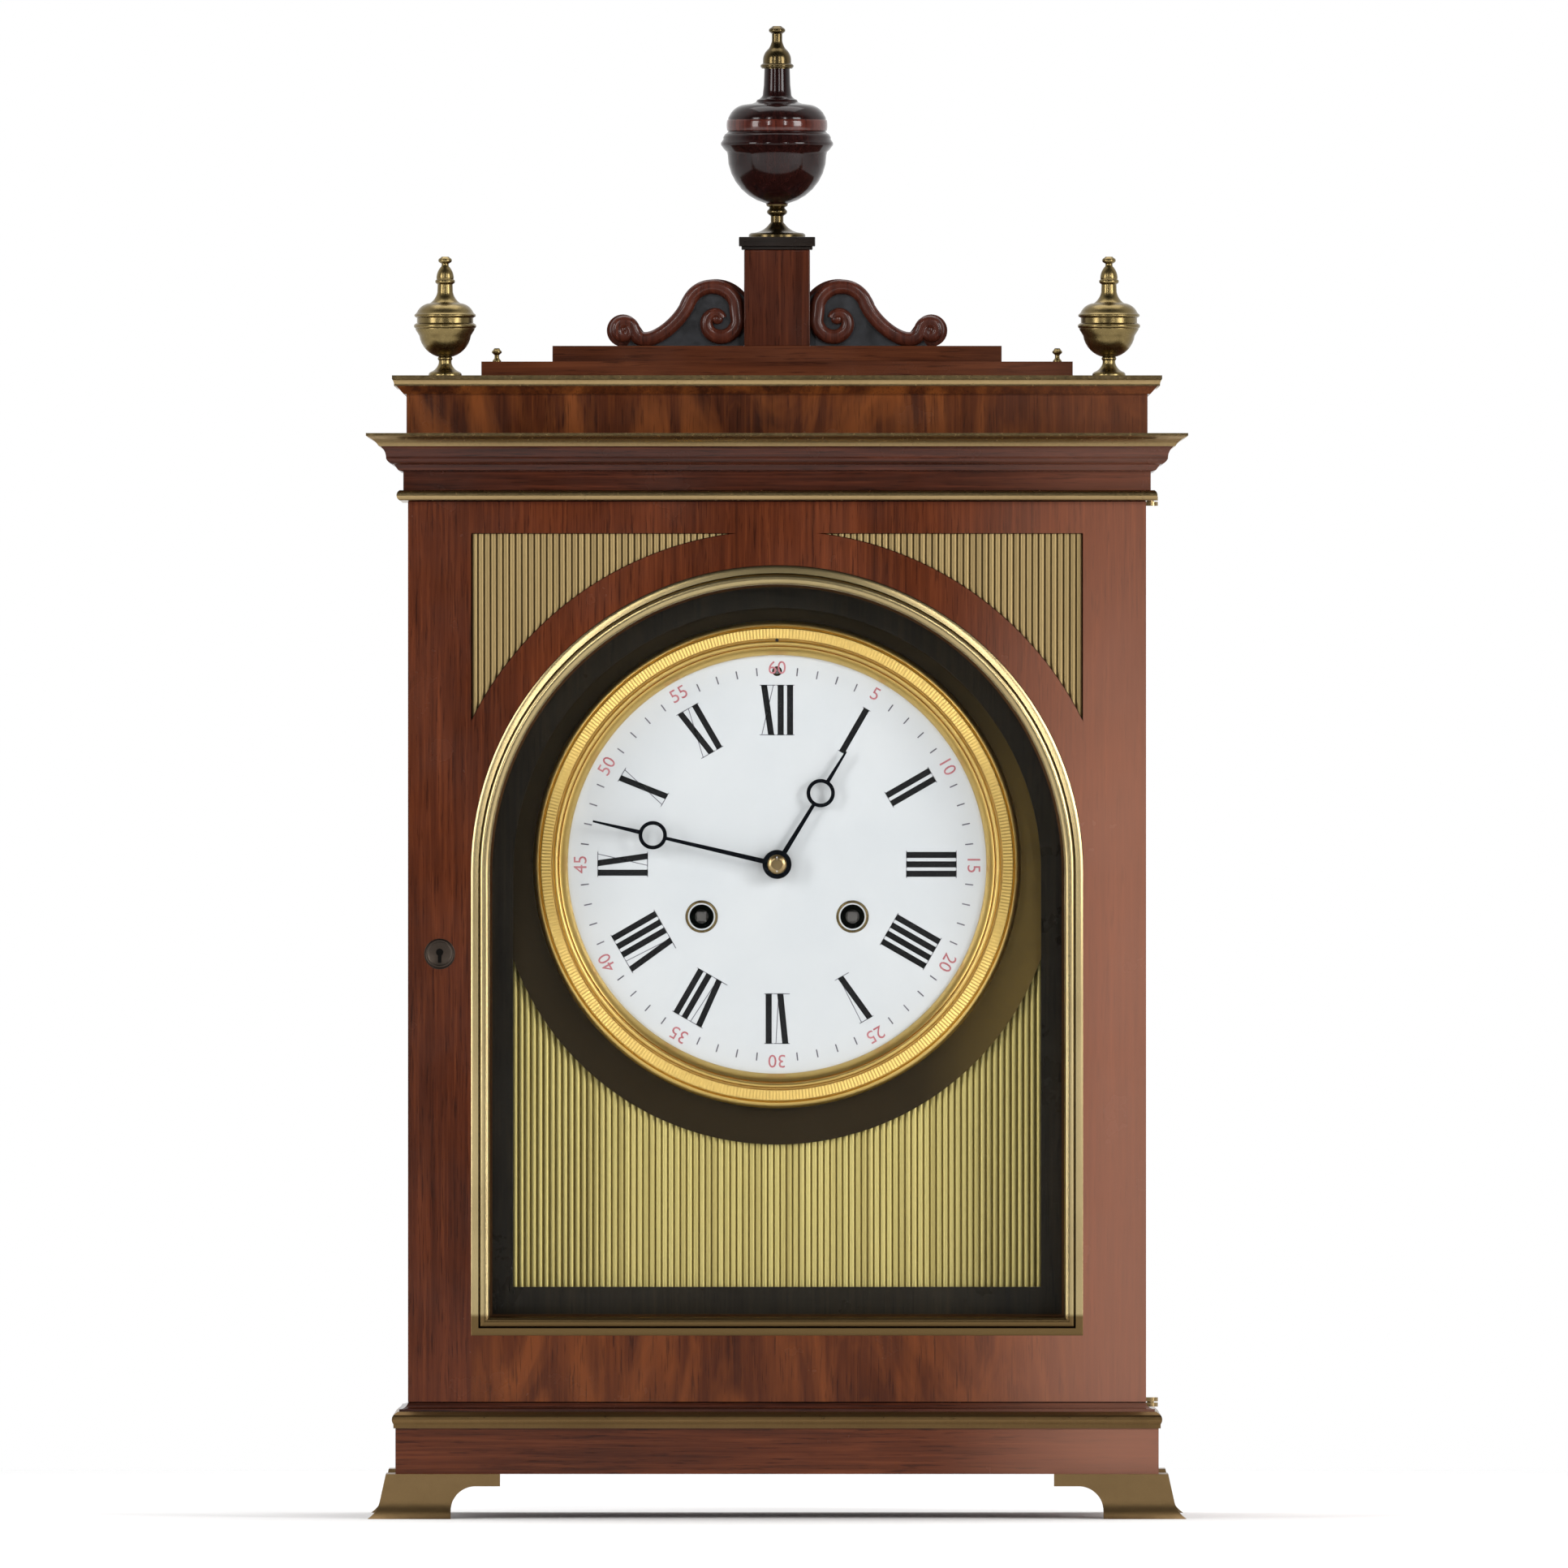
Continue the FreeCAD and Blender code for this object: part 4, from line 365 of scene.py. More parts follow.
NODE_FINISH = {
    "plinth_board": LONG_GRAIN, "base_board": DARK_MOULDING, "side_panels": MAHOGANY,
    "frieze_block": DARK_MOULDING, "attic_block": ATTIC, "step_boards": STEP_WOOD,
    "pedestal": MAHOGANY, "door_stile_left": MAHOGANY, "door_stile_right": MAHOGANY,
    "door_bottom_rail": FLAME, "door_arch_head": MAHOGANY, "back_door_frame": MAHOGANY,
    "mask_board": EBONISED, "seatboard": INNER_WOOD, "dial": ENAMEL, "dial_surround": BRONZE,
    "door_glass": GLASS, "back_door_glass": GLASS, "lock_escutcheon": DARK_METAL,
    "lock_case": CASE_BRASS, "door_hinge_case_plates": CASE_BRASS,
    "door_hinge_door_plates": CASE_BRASS, "back_hinge_case_leaves": CASE_BRASS,
    "back_hinge_door_leaves": CASE_BRASS, "bracket_feet": FOOT_BRASS, "lock_bolt": STEEL,
    "lock_staple": STEEL, "movement_frame": MOVEMENT_BRASS, "bell": MOVEMENT_BRASS,
    "pendulum": MOVEMENT_BRASS, "hour_wheel": MOVEMENT_BRASS, "minute_wheel": MOVEMENT_BRASS,
    "second_wheel": MOVEMENT_BRASS, "third_wheel": MOVEMENT_BRASS, "escape_wheel": MOVEMENT_BRASS,
    "going_barrel": MOVEMENT_BRASS, "strike_barrel": MOVEMENT_BRASS, "centre_arbor": COLLET_BRASS,
    "going_winding_arbor": DARK_STEEL, "strike_winding_arbor": DARK_STEEL, "regulator_arbor": STEEL,
    "anchor": STEEL, "hammer": STEEL, "winding_grommets": GILT, "hand_collet": GILT,
    "hour_hand": BLUED, "minute_hand": BLUED, "dial_bezel": GILT, "urn": PLUM,
    "urn_brass_mounts": ORNAMENT_BRASS, "brass_finials": ORNAMENT_BRASS,
    "base_brass_moulding": BASE_BRASS, "frieze_brass_bead": CASE_BRASS,
    "cornice_moulding": DARK_MOULDING, "cornice_brass_fillet": CASE_BRASS,
    "attic_brass_moulding": CASE_BRASS, "door_brass_sash": SASH_BRASS,
    "spandrel_reeds": DOOR_REEDS, "reeded_panel": LOWER_REEDS, "scroll_brackets": MAHOGANY,
}
EASED_BOARDS = ("plinth_board", "step_boards", "door_stile_left", "door_stile_right",
                "door_bottom_rail", "side_panels", "back_door_frame", "attic_block", "bracket_feet")
EASED_EDGE, HAND_EASE = 0.5 * MM, 0.14 * MM


def finish_node(name, material):
    """Give a node its material, and its boards the slightly rounded edges of worn wood."""
    node = nodes[name]
    node.data.materials.clear()
    node.data.materials.append(material)
    if name in EASED_BOARDS:
        bevel = node.modifiers.new("eased_edges", "BEVEL")
        bevel.width = EASED_EDGE
        bevel.segments = 2
        bevel.limit_method = "ANGLE"
        bevel.angle_limit = math.radians(50)


for name, material in NODE_FINISH.items():
    finish_node(name, material)


# ---------------------------------------------------------------- ways of making a mesh
def solid(name, vertices, faces, material, body, sharp=35.0):
    """A mesh piece on a body, smooth except at its sharper edges."""
    mesh = bpy.data.meshes.new(name)
    mesh.from_pydata([tuple(point) for point in vertices], [], faces)
    work = bmesh.new()
    work.from_mesh(mesh)
    bmesh.ops.recalc_face_normals(work, faces=work.faces)
    work.to_mesh(mesh)
    work.free()
    mesh.shade_smooth()
    mesh.set_sharp_from_angle(angle=math.radians(sharp))
    mesh.materials.append(material)
    piece = bpy.data.objects.new(name, mesh)
    bpy.context.scene.collection.objects.link(piece)
    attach(piece, body)
    return piece


def bent(points, steps=8):
    """An outline whose third entries bend a side, as the tangent of a quarter of its turn."""
    path = []
    for index, point in enumerate(points):
        start = Vector(point[:2])
        path.append(start)
        if len(point) < 3 or index + 1 >= len(points):
            continue
        end = Vector(points[index + 1][:2])
        turn = 4 * math.atan(point[2])
        chord = end - start
        radius = chord.length / 2 / math.sin(abs(turn) / 2)
        toward = Vector((-chord.y, chord.x)).normalized() * (1 if turn > 0 else -1)
        centre = (start + end) / 2 + toward * radius * math.cos(turn / 2)
        spoke = start - centre
        for step in range(1, steps):
            angle = turn * step / steps
            path.append(centre + Vector((spoke.x * math.cos(angle) - spoke.y * math.sin(angle),
                                         spoke.x * math.sin(angle) + spoke.y * math.cos(angle))))
    return path


def skin(stations, rows, closed=False):
    """The four-sided faces between rings of vertices that follow one another."""
    faces = []
    for station in range(stations - (not closed)):
        here, there = station * rows, (station + 1) % stations * rows
        for row in range(rows):
            after = (row + 1) % rows
            faces.append((here + row, here + after, there + after, there + row))
    return faces


def end_faces(stations, rows):
    """The two faces that close a swept shape at its ends."""
    return [tuple(range(rows)), tuple(range((stations - 1) * rows, stations * rows))]


def lathe(profile, at, segments=96, lying=False):
    """A turned piece's mesh; its profile is (radius, height), or (depth, radius) when lying."""
    vertices = []
    for turn in range(segments):
        angle = 2 * math.pi * turn / segments
        for first, second in profile:
            radius, height = (second, first) if lying else (first, second)
            across, up = radius * math.cos(angle), radius * math.sin(angle)
            place = (across, height, up) if lying else (across, up, height)
            vertices.append(Vector(place) + at)
    return vertices, skin(segments, len(profile), closed=True)


def scaled(points):
    """Outline points given in millimetres, in metres; a bend stays as it is."""
    return [(point[0] * MM, point[1] * MM) + tuple(point[2:]) for point in points]


def facing(profile, front_y, bore=0.0, steps=8):
    """A lying profile of (depth, radius) in millimetres, set behind a front and round a bore."""
    return [(front_y + point.x, bore + point.y) for point in bent(scaled(profile), steps)]


def arch_loop(inset, depth, half, low_z, steps=64):
    """The arched outline of the door's opening, moved in by inset, at one depth."""
    reach = half - inset
    loop = [Vector((-reach, depth, low_z + inset))]
    for step in range(steps + 1):
        angle = math.pi * (1 - step / steps)
        loop.append(Vector((reach * math.cos(angle), depth, Z_ARCH + reach * math.sin(angle))))
    loop.append(Vector((reach, depth, low_z + inset)))
    return loop


def arch_frame(section, half, low_z):
    """A bar bent round the arched opening; section is (inset, depth)."""
    loops = [arch_loop(inset, depth, half, low_z) for inset, depth in section]
    count, rows = len(loops[0]), len(loops)
    vertices = [loops[row][spot] for spot in range(count) for row in range(rows)]
    return vertices, skin(count, rows, closed=True)


def reeds(x_from, x_to, low_at, high_at, crest_y, back_y, facets=8):
    """A sheet with half-round upright reeds; low_at and high_at give its ends at each X."""
    count = round((x_to - x_from) / REED_PITCH)
    pitch = (x_to - x_from) / count
    columns = []
    for reed in range(count):
        for facet in range(facets + (reed == count - 1)):
            across = math.pi * facet / facets
            x = x_from + pitch * (reed + (1 - math.cos(across)) / 2)
            columns.append((x, crest_y + REED_DEPTH * (1 - math.sin(across))))
    vertices = []
    for x, y in columns:
        low, high = low_at(x), high_at(x)
        vertices += [(x, y, low), (x, y, high), (x, back_y, high), (x, back_y, low)]
    return vertices, skin(len(columns), 4) + end_faces(len(columns), 4)


def joined(*parts):
    """Several meshes, each as vertices and faces, put in one."""
    vertices, faces = [], []
    for part_vertices, part_faces in parts:
        start = len(vertices)
        vertices += part_vertices
        faces += [tuple(start + corner for corner in face) for face in part_faces]
    return vertices, faces


def reflected(part):
    """The same mesh on the other side of the middle."""
    vertices, faces = part
    return [(-point[0], point[1], point[2]) for point in vertices], faces


def plate(outline, front_y, back_y):
    """A flat outline of (x, z) given a thickness."""
    count = len(outline)
    vertices = [(x, front_y, z) for x, z in outline] + [(x, back_y, z) for x, z in outline]
    faces = [tuple(range(count)), tuple(range(2 * count - 1, count - 1, -1))]
    for corner in range(count):
        after = (corner + 1) % count
        faces.append((corner, after, after + count, corner + count))
    return vertices, faces


# ---------------------------------------------------------------- reeded brass sheets
def below_arc(radius, centre_z, x):
    """The height of the lower side of a circle round the middle, at one X."""
    return centre_z - math.sqrt(max(radius ** 2 - x ** 2, 0.0))


def above_arc(radius, centre_z, x):
    """The height of the upper side of a circle round the middle, at one X."""
    return centre_z + math.sqrt(max(radius ** 2 - x ** 2, 0.0))


corner_low, corner_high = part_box("spandrel_reeds")
ARCH_BAND_OUTER = math.hypot(corner_high[0], corner_low[2] - Z_ARCH)
spandrel_inner = math.sqrt(ARCH_BAND_OUTER ** 2 - (corner_high[2] - Z_ARCH) ** 2)
right_reeds = reeds(spandrel_inner, corner_high[0],
                    lambda x: above_arc(ARCH_BAND_OUTER, Z_ARCH, x), lambda x: corner_high[2],
                    corner_low[1], corner_high[1])
spandrels = solid("spandrel_reed_sheets", *joined(right_reeds, reflected(right_reeds)), DOOR_REEDS,
                  "front_door")
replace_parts(spandrels, "spandrel_reeds")

panel_low, panel_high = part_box("reeded_panel")
PANEL_HOLE = 62 * MM
panel = solid("lower_reed_sheet", *reeds(
    panel_low[0], panel_high[0], lambda x: panel_low[2],
    lambda x: below_arc(PANEL_HOLE, panel_high[2], x) if abs(x) < PANEL_HOLE else panel_high[2],
    panel_low[1], panel_high[1]), LOWER_REEDS, "case")
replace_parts(panel, "reeded_panel")

# ---------------------------------------------------------------- brass sash of the door
sash_low, sash_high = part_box("door_brass_sash")
SASH_WIDTH, SLOPE_RISE = 7.3 * MM, 0.7 * MM
BEAD_INSET, BEAD_RADIUS = 4.5 * MM, 2.0 * MM
SLOPE_STEPS, BEAD_STEPS = 5, 10
sash_section = [(0.0, sash_high[1]), (0.0, FRONT)]
sash_section += [((BEAD_INSET - BEAD_RADIUS) * step / SLOPE_STEPS,
                  FRONT - SLOPE_RISE * (step / SLOPE_STEPS) ** 0.6)
                 for step in range(1, SLOPE_STEPS + 1)]
sash_section += [(BEAD_INSET - BEAD_RADIUS * math.cos(math.pi * step / BEAD_STEPS),
                  SASH_FRONT + BEAD_RADIUS * 0.9 * (1 - math.sin(math.pi * step / BEAD_STEPS)))
                 for step in range(BEAD_STEPS + 1)]
sash_section += [(SASH_WIDTH, SASH_FRONT + BEAD_RADIUS * 1.3), (SASH_WIDTH, sash_high[1])]
sash = solid("arched_sash_bead", *arch_frame(sash_section, STILE_X, sash_low[2]), SASH_BRASS,
             "front_door", 30.0)
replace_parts(sash, "door_brass_sash")


# ---------------------------------------------------------------- printed dial
INK = 0.04 * MM
NUMERAL_IN, NUMERAL_OUT = 44.5 * MM, 61.9 * MM
THICK, HAIR, GAP, SPREAD = 2.1 * MM, 0.28 * MM, 1.15 * MM, 4.6 * MM
TICK_IN, TICK_OUT, TICK_WIDTH = 65.2 * MM, 68.0 * MM, 0.46 * MM
MINUTE_FIGURE_RADIUS, MINUTE_FIGURE_HEIGHT = 67.6 * MM, 4.0 * MM
NUMERALS = ("XII", "I", "II", "III", "IIII", "V", "VI", "VII", "VIII", "IX", "X", "XI")
MINUTES = 60


def on_dial(across, reach, turn):
    """The (x, z) of a point at a distance out from the centre, turned clockwise from the top."""
    return (across * math.cos(turn) + reach * math.sin(turn),
            Z_DIAL - across * math.sin(turn) + reach * math.cos(turn))


def minute_turn(minute):
    return 2 * math.pi * minute / MINUTES


def stroke(start, end, width, turn):
    """One straight pen stroke from (across, reach) to (across, reach), cut off level."""
    corners = ((start[0] - width / 2, start[1]), (start[0] + width / 2, start[1]),
               (end[0] + width / 2, end[1]), (end[0] - width / 2, end[1]))
    outline = [on_dial(across, reach, turn) for across, reach in corners]
    return plate(outline, DIAL_FRONT - INK, DIAL_FRONT)


def numeral(letters, turn):
    """The thick strokes and the hairlines of one hour, feet towards the centre."""
    widths = [THICK if letter == "I" else SPREAD for letter in letters]
    left = -(sum(widths) + GAP * (len(letters) - 1)) / 2
    thick, thin = [], []

    def full(foot, head, width):
        return stroke((foot, NUMERAL_IN), (head, NUMERAL_OUT), width, turn)

    for letter, width in zip(letters, widths):
        right, middle = left + width, left + width / 2
        if letter == "I":
            thick.append(full(middle, middle, THICK))
        elif letter == "V":
            thick.append(full(middle + THICK / 4, left + THICK / 2, THICK))
            thin.append(full(middle + THICK / 2, right - HAIR, HAIR))
        else:
            thick.append(full(right - THICK / 2, left + THICK / 2, THICK))
            thin.append(full(left + HAIR, right - HAIR, HAIR))
        for reach in (NUMERAL_IN + HAIR / 2, NUMERAL_OUT - HAIR / 2):
            thin.append(stroke((middle, reach - HAIR / 2), (middle, reach + HAIR / 2),
                               width + GAP * 0.8, turn))
        left = right + GAP
    return thick, thin


thick_strokes, hairlines, ticks = [], [], []
for hour, letters in enumerate(NUMERALS):
    thick, thin = numeral(letters, 2 * math.pi * hour / len(NUMERALS))
    thick_strokes += thick
    hairlines += thin
for minute in range(MINUTES):
    if minute % 5:
        ticks.append(stroke((0, TICK_IN), (0, TICK_OUT), TICK_WIDTH, minute_turn(minute)))
solid("hour_numerals", *joined(*thick_strokes), BLACK_INK, "case")
solid("numeral_hairlines", *joined(*hairlines), GREY_INK, "case")
solid("minute_ticks", *joined(*ticks), GREY_INK, "case")


def figure_mesh(text, turn):
    """Plain figures of the minute ring as flat faces, laid on the dial."""
    curve = bpy.data.curves.new("figures_" + text, "FONT")
    curve.body = text
    curve.size = MINUTE_FIGURE_HEIGHT * 1.6
    curve.align_x = "CENTER"
    curve.align_y = "CENTER"
    curve.resolution_u = 3
    holder = bpy.data.objects.new("figures_" + text, curve)
    mesh = holder.to_mesh()
    vertices = []
    for vertex in mesh.vertices:
        x, z = on_dial(vertex.co.x, MINUTE_FIGURE_RADIUS + vertex.co.y, turn)
        vertices.append((x, DIAL_FRONT - INK, z))
    faces = [tuple(polygon.vertices) for polygon in mesh.polygons]
    holder.to_mesh_clear()
    bpy.data.objects.remove(holder)
    bpy.data.curves.remove(curve)
    return vertices, faces


figures = [figure_mesh(str(minute), minute_turn(minute)) for minute in range(5, MINUTES + 1, 5)]
solid("minute_figures", *joined(*figures), RED_INK, "case")

# ---------------------------------------------------------------- bezel round the dial
bezel_low, bezel_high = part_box("dial_bezel")
BEZEL_RADIUS = (bezel_high[0] - bezel_low[0]) / 2
BEZEL_WIDTH = 12.0 * MM
BEZEL_BORE = BEZEL_RADIUS - BEZEL_WIDTH
BEZEL_FRONT = bezel_low[1]
MILLED_INSET, MILLED_WIDTH, MILLED_SINK = 7.5 * MM, 3.2 * MM, 1.0 * MM
RIDGE_DEPTH, RIDGES = 0.16 * MM, 440
SCREW_INSET = 5.2 * MM
SCREW = ((1.2, 0.0), (1.2, 0.35), (1.35, 0.6), (2.4, 0.6), (2.4, 0.0))


def bezel_profile():
    """(depth, radius) round the ring's section, in millimetres from its bore and its crest."""
    shape = [
        (7.3, 0.0), (5.4, 0.1), (3.6, 1.5, -0.1), (2.4, 2.9), (2.8, 3.1), (1.6, 3.5, -0.6),
        (1.6, 4.9), (2.2, 5.1), (2.2, 5.4), (1.4, 5.7), (1.2, 7.4, -0.12), (1.9, 9.5),
        (2.3, 9.7), (1.7, 10.1, -0.3), (3.4, 12.0), (9.0, 12.0), (9.0, 2.3), (7.3, 2.3),
    ]
    return facing(shape, BEZEL_FRONT, BEZEL_BORE, 6)


centre = Vector((0, 0, Z_DIAL))
bezel = solid("gilt_dial_bezel", *lathe(bezel_profile(), centre, 192, lying=True), GILT, "case",
              40.0)
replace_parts(bezel, "dial_bezel")


def milled_band(radius, width, front_y, depth, count):
    """A ring of fine ridges that run across it, as a milling tool leaves them."""
    vertices = []
    for ridge in range(count * 2):
        turn = math.pi * ridge / count
        y = front_y + (depth if ridge % 2 else 0.0)
        for reach, level in ((radius - width / 2, y), (radius + width / 2, y),
                             (radius + width / 2, front_y + depth * 3),
                             (radius - width / 2, front_y + depth * 3)):
            x, z = on_dial(0.0, reach, turn)
            vertices.append((x, level, z))
    return vertices, skin(count * 2, 4, closed=True)


solid("bezel_milling", *milled_band(BEZEL_BORE + MILLED_INSET, MILLED_WIDTH,
                                    BEZEL_FRONT + MILLED_SINK, RIDGE_DEPTH, RIDGES),
      GILT, "case", 20.0)
screw_place = Vector((0, 0, Z_DIAL + BEZEL_BORE + SCREW_INSET))
solid("bezel_screw", *lathe(facing(SCREW, BEZEL_FRONT), screw_place, 24, lying=True), DARK_METAL,
      "case")

# ---------------------------------------------------------------- hands, winding holes and lock
for hand in ("hour_hand", "minute_hand"):
    eased = nodes[hand].modifiers.new("eased_edges", "BEVEL")
    eased.width = HAND_EASE
    eased.segments = 2
    eased.limit_method = "ANGLE"

COLLET_FRONT = edge("hand_collet", 0, 1)
COLLET = [(1.6, 1.57), (1.6, 3.4), (1.1, 3.4, 0.2), (0.4, 2.9), (0.15, 2.4, 0.2), (0.0, 1.57)]
collet = facing(COLLET, COLLET_FRONT, steps=5)
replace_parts(solid("hand_collet_ring", *lathe(collet, centre, 48, lying=True), COLLET_BRASS,
                  "minute_hand_arbor"), "hand_collet")
PIN_HALF, PIN_RADIUS, PIN_SIDES = 2.6 * MM, 0.35 * MM, 12
pin_axis_y = COLLET_FRONT + PIN_RADIUS
pin = []
for end in (-PIN_HALF, PIN_HALF):
    for step in range(PIN_SIDES):
        turn = 2 * math.pi * step / PIN_SIDES
        pin.append((PIN_RADIUS * math.cos(turn), pin_axis_y + PIN_RADIUS * math.sin(turn),
                    Z_DIAL + end))
solid("collet_pin", pin, skin(2, PIN_SIDES) + end_faces(2, PIN_SIDES), STEEL, "minute_hand_arbor")

grommet_low, grommet_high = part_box("winding_grommets")
GROMMET = [(0.6, 4.7), (0.2, 4.75, 0.3), (0.0, 5.0), (0.05, 5.2, 0.25), (0.6, 5.6)]
GROMMET_RADIUS = GROMMET[-1][1] * MM
TUBE_BORE, TUBE_OUTER, TUBE_FLOOR_BORE, TUBE_FLOOR = 4.7 * MM, 4.95 * MM, 2.3 * MM, 0.4 * MM
WINDING_X = grommet_high[0] - GROMMET_RADIUS
winding_z = (grommet_low[2] + grommet_high[2]) / 2
tube_from, tube_to = edge("dial", 1, 1), edge("movement_frame", 0, 1)
tube = [(tube_from, TUBE_BORE), (tube_to - TUBE_FLOOR, TUBE_BORE),
        (tube_to - TUBE_FLOOR, TUBE_FLOOR_BORE), (tube_to, TUBE_FLOOR_BORE), (tube_to, TUBE_OUTER),
        (tube_from, TUBE_OUTER)]
rings, sleeves = [], []
for x in (-WINDING_X, WINDING_X):
    at = Vector((x, 0, winding_z))
    rings.append(lathe(facing(GROMMET, grommet_low[1], steps=4), at, 48, lying=True))
    sleeves.append(lathe(tube, at, 48, lying=True))
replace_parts(solid("winding_hole_rings", *joined(*rings), ORNAMENT_BRASS, "case"),
            "winding_grommets")
# The tubes' near-black finish is painted shade inside the winding holes.
solid("winding_dust_tubes", *joined(*sleeves), HOLE_SHADE, "case")

plate_low, plate_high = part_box("lock_escutcheon")
KEYHOLE = Vector(((plate_low[0] + plate_high[0]) / 2, 0, (plate_low[2] + plate_high[2]) / 2))
ESCUTCHEON = [(0.6, 0.0), (0.35, 0.0), (0.3, 3.6), (0.0, 4.1, 0.35), (0.0, 4.8, 0.25), (0.6, 5.3)]
escutcheon = facing(ESCUTCHEON, plate_low[1], steps=4)
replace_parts(solid("keyhole_plate", *lathe(escutcheon, KEYHOLE, 48, lying=True), DARK_METAL,
                  "front_door"), "lock_escutcheon")
KEY_ROUND, KEY_RISE, KEY_SLOT_HALF, KEY_DROP = 1.25 * MM, 0.6 * MM, 0.55 * MM, 3.0 * MM
HOLE_FRONT, HOLE_BACK = 0.27 * MM, 0.4 * MM
keyhole = [(KEYHOLE.x + KEY_ROUND * math.cos(math.radians(turn)),
            KEYHOLE.z + KEY_RISE + KEY_ROUND * math.sin(math.radians(turn)))
           for turn in range(-60, 241, 20)]
keyhole += [(KEYHOLE.x + side * KEY_SLOT_HALF, KEYHOLE.z - KEY_DROP) for side in (-1, 1)]
# Painted shade: a thin dark plate on the escutcheon stands in for the shade inside the keyhole.
solid("keyhole", *plate(keyhole, plate_low[1] + HOLE_FRONT, plate_low[1] + HOLE_BACK), HOLE_SHADE,
      "front_door")

# ---------------------------------------------------------------- turned ornaments
FINIAL = [
    (0, 0), (5.7, 0), (5.7, 0.5, 0.2), (5.0, 1.3, -0.25), (2.2, 4.4), (2.2, 5.3, 0.6), (2.2, 6.5),
    (3.0, 6.7, 0.28), (8.9, 13.8), (10.2, 15.9), (10.2, 16.3, 0.7), (10.2, 17.9), (9.7, 18.2),
    (9.7, 19.9), (10.2, 20.2, 0.7), (10.2, 21.3), (9.8, 21.7, 0.28), (5.2, 25.0, -0.2), (2.7, 28.8),
    (2.6, 31.4), (2.9, 31.7, 0.7), (2.9, 33.2), (3.0, 33.5, 0.2), (1.3, 37.7), (1.2, 38.5),
    (1.8, 38.9, 0.7), (1.8, 40.5), (1.2, 41.0), (0, 41.0),
]
KNOB = [(0, 0), (1.5, 0), (1.5, 0.3), (0.8, 1.2), (0.8, 2.2), (1.3, 2.7, 0.7), (1.3, 3.9),
        (0.9, 4.6), (0, 4.6)]
URN_FOOT = [(0, 0), (9.8, 0), (9.8, 0.8, 0.2), (8.8, 1.5, -0.22), (3.2, 4.0), (2.2, 5.2),
            (2.2, 7.3), (3.0, 7.9, 0.6), (3.0, 9.6), (2.6, 10.2), (3.6, 10.8),
            (3.75, 11.4), (0, 11.4)]
URN_BOWL = [(0, 0), (3.75, 0), (3.9, 0.3, 0.344), (17.1, 17.1), (17.3, 18.0), (18.3, 19.0),
            (19.2, 20.2, 0.3), (19.3, 21.4), (18.6, 22.4), (18.6, 23.2), (18.0, 24.2, -0.15),
            (16.9, 25.2), (0, 25.2)]
URN_BAND = [(0, 25.2), (16.9, 25.2), (17.25, 25.5, 0.1), (17.3, 28.9), (17.1, 29.2), (0, 29.2)]
URN_LID = [(0, 0), (16.9, 0), (16.9, 0.6), (16.4, 1.6, 0.24), (11.6, 5.2), (8.6, 5.6), (7.3, 6.1),
           (6.9, 6.9, -0.2), (5.0, 8.4), (4.6, 12.0), (4.4, 17.7), (0, 17.7)]
URN_TIP = [(0, 0), (5.3, 0), (5.3, 0.2, 0.7), (5.3, 1.5), (4.9, 1.8), (4.9, 2.6, 0.24),
           (2.9, 6.9, -0.1), (1.8, 9.6), (1.8, 12.0), (2.3, 12.4, 0.7), (2.3, 14.0),
           (1.4, 14.7), (0, 14.7)]


def turned(profile, at, segments=96):
    """A piece turned about an upright axis, from a profile in millimetres."""
    return lathe(bent(scaled(profile), 7), at, segments)


finial_low, finial_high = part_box("brass_finials")
FINIAL_RADIUS, FINIAL_HEIGHT = 11.1 * MM, FINIAL[-1][1] * MM
FINIAL_AT = Vector((finial_high[0] - FINIAL_RADIUS, finial_low[1] + FINIAL_RADIUS,
                    finial_high[2] - FINIAL_HEIGHT))
step_low, step_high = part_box("step_boards")
KNOB_INSET, LOWER_STEP = 5.3 * MM, 5.0 * MM
KNOB_AT = Vector((step_high[0] - KNOB_INSET, step_low[1] + KNOB_INSET, step_low[2] + LOWER_STEP))
finials = joined(turned(FINIAL, FINIAL_AT), turned(KNOB, KNOB_AT, 32))
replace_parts(solid("turned_finials", *joined(finials, reflected(finials)), ORNAMENT_BRASS, "case"),
            "brass_finials")

urn_axis = Vector((0, MIDDLE_Y, 0))
urn_low, urn_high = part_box("urn")
at_foot = urn_axis + Vector((0, 0, edge("urn_brass_mounts", 0, 2)))
at_bowl = urn_axis + Vector((0, 0, urn_low[2]))
at_lid = at_bowl + Vector((0, 0, URN_BAND[-1][1] * MM))
at_tip = urn_axis + Vector((0, 0, urn_high[2]))
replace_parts(solid("urn_bowl_and_lid", *joined(turned(URN_BOWL, at_bowl), turned(URN_LID, at_lid)),
                  PLUM, "case"), "urn")
solid("urn_band", *turned(URN_BAND, at_bowl), BAND_WOOD, "case")
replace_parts(solid("urn_foot_and_tip", *joined(turned(URN_FOOT, at_foot), turned(URN_TIP, at_tip)),
                  URN_BRASS, "case"), "urn_brass_mounts")


# ---------------------------------------------------------------- pedestal and carved scrolls
def eased_box(low, high, ease):
    """The vertices and faces of a block with every edge eased."""
    work = bmesh.new()
    bmesh.ops.create_cube(work, size=1.0)
    for vertex in work.verts:
        vertex.co = Vector([low[axis] + (vertex.co[axis] + 0.5) * (high[axis] - low[axis])
                            for axis in range(3)])
    bmesh.ops.bevel(work, geom=list(work.edges), offset=ease, segments=2, profile=0.5,
                    affect="EDGES")
    work.verts.ensure_lookup_table()
    work.verts.index_update()
    vertices = [tuple(vertex.co) for vertex in work.verts]
    faces = [tuple(vertex.index for vertex in face.verts) for face in work.faces]
    work.free()
    return vertices, faces


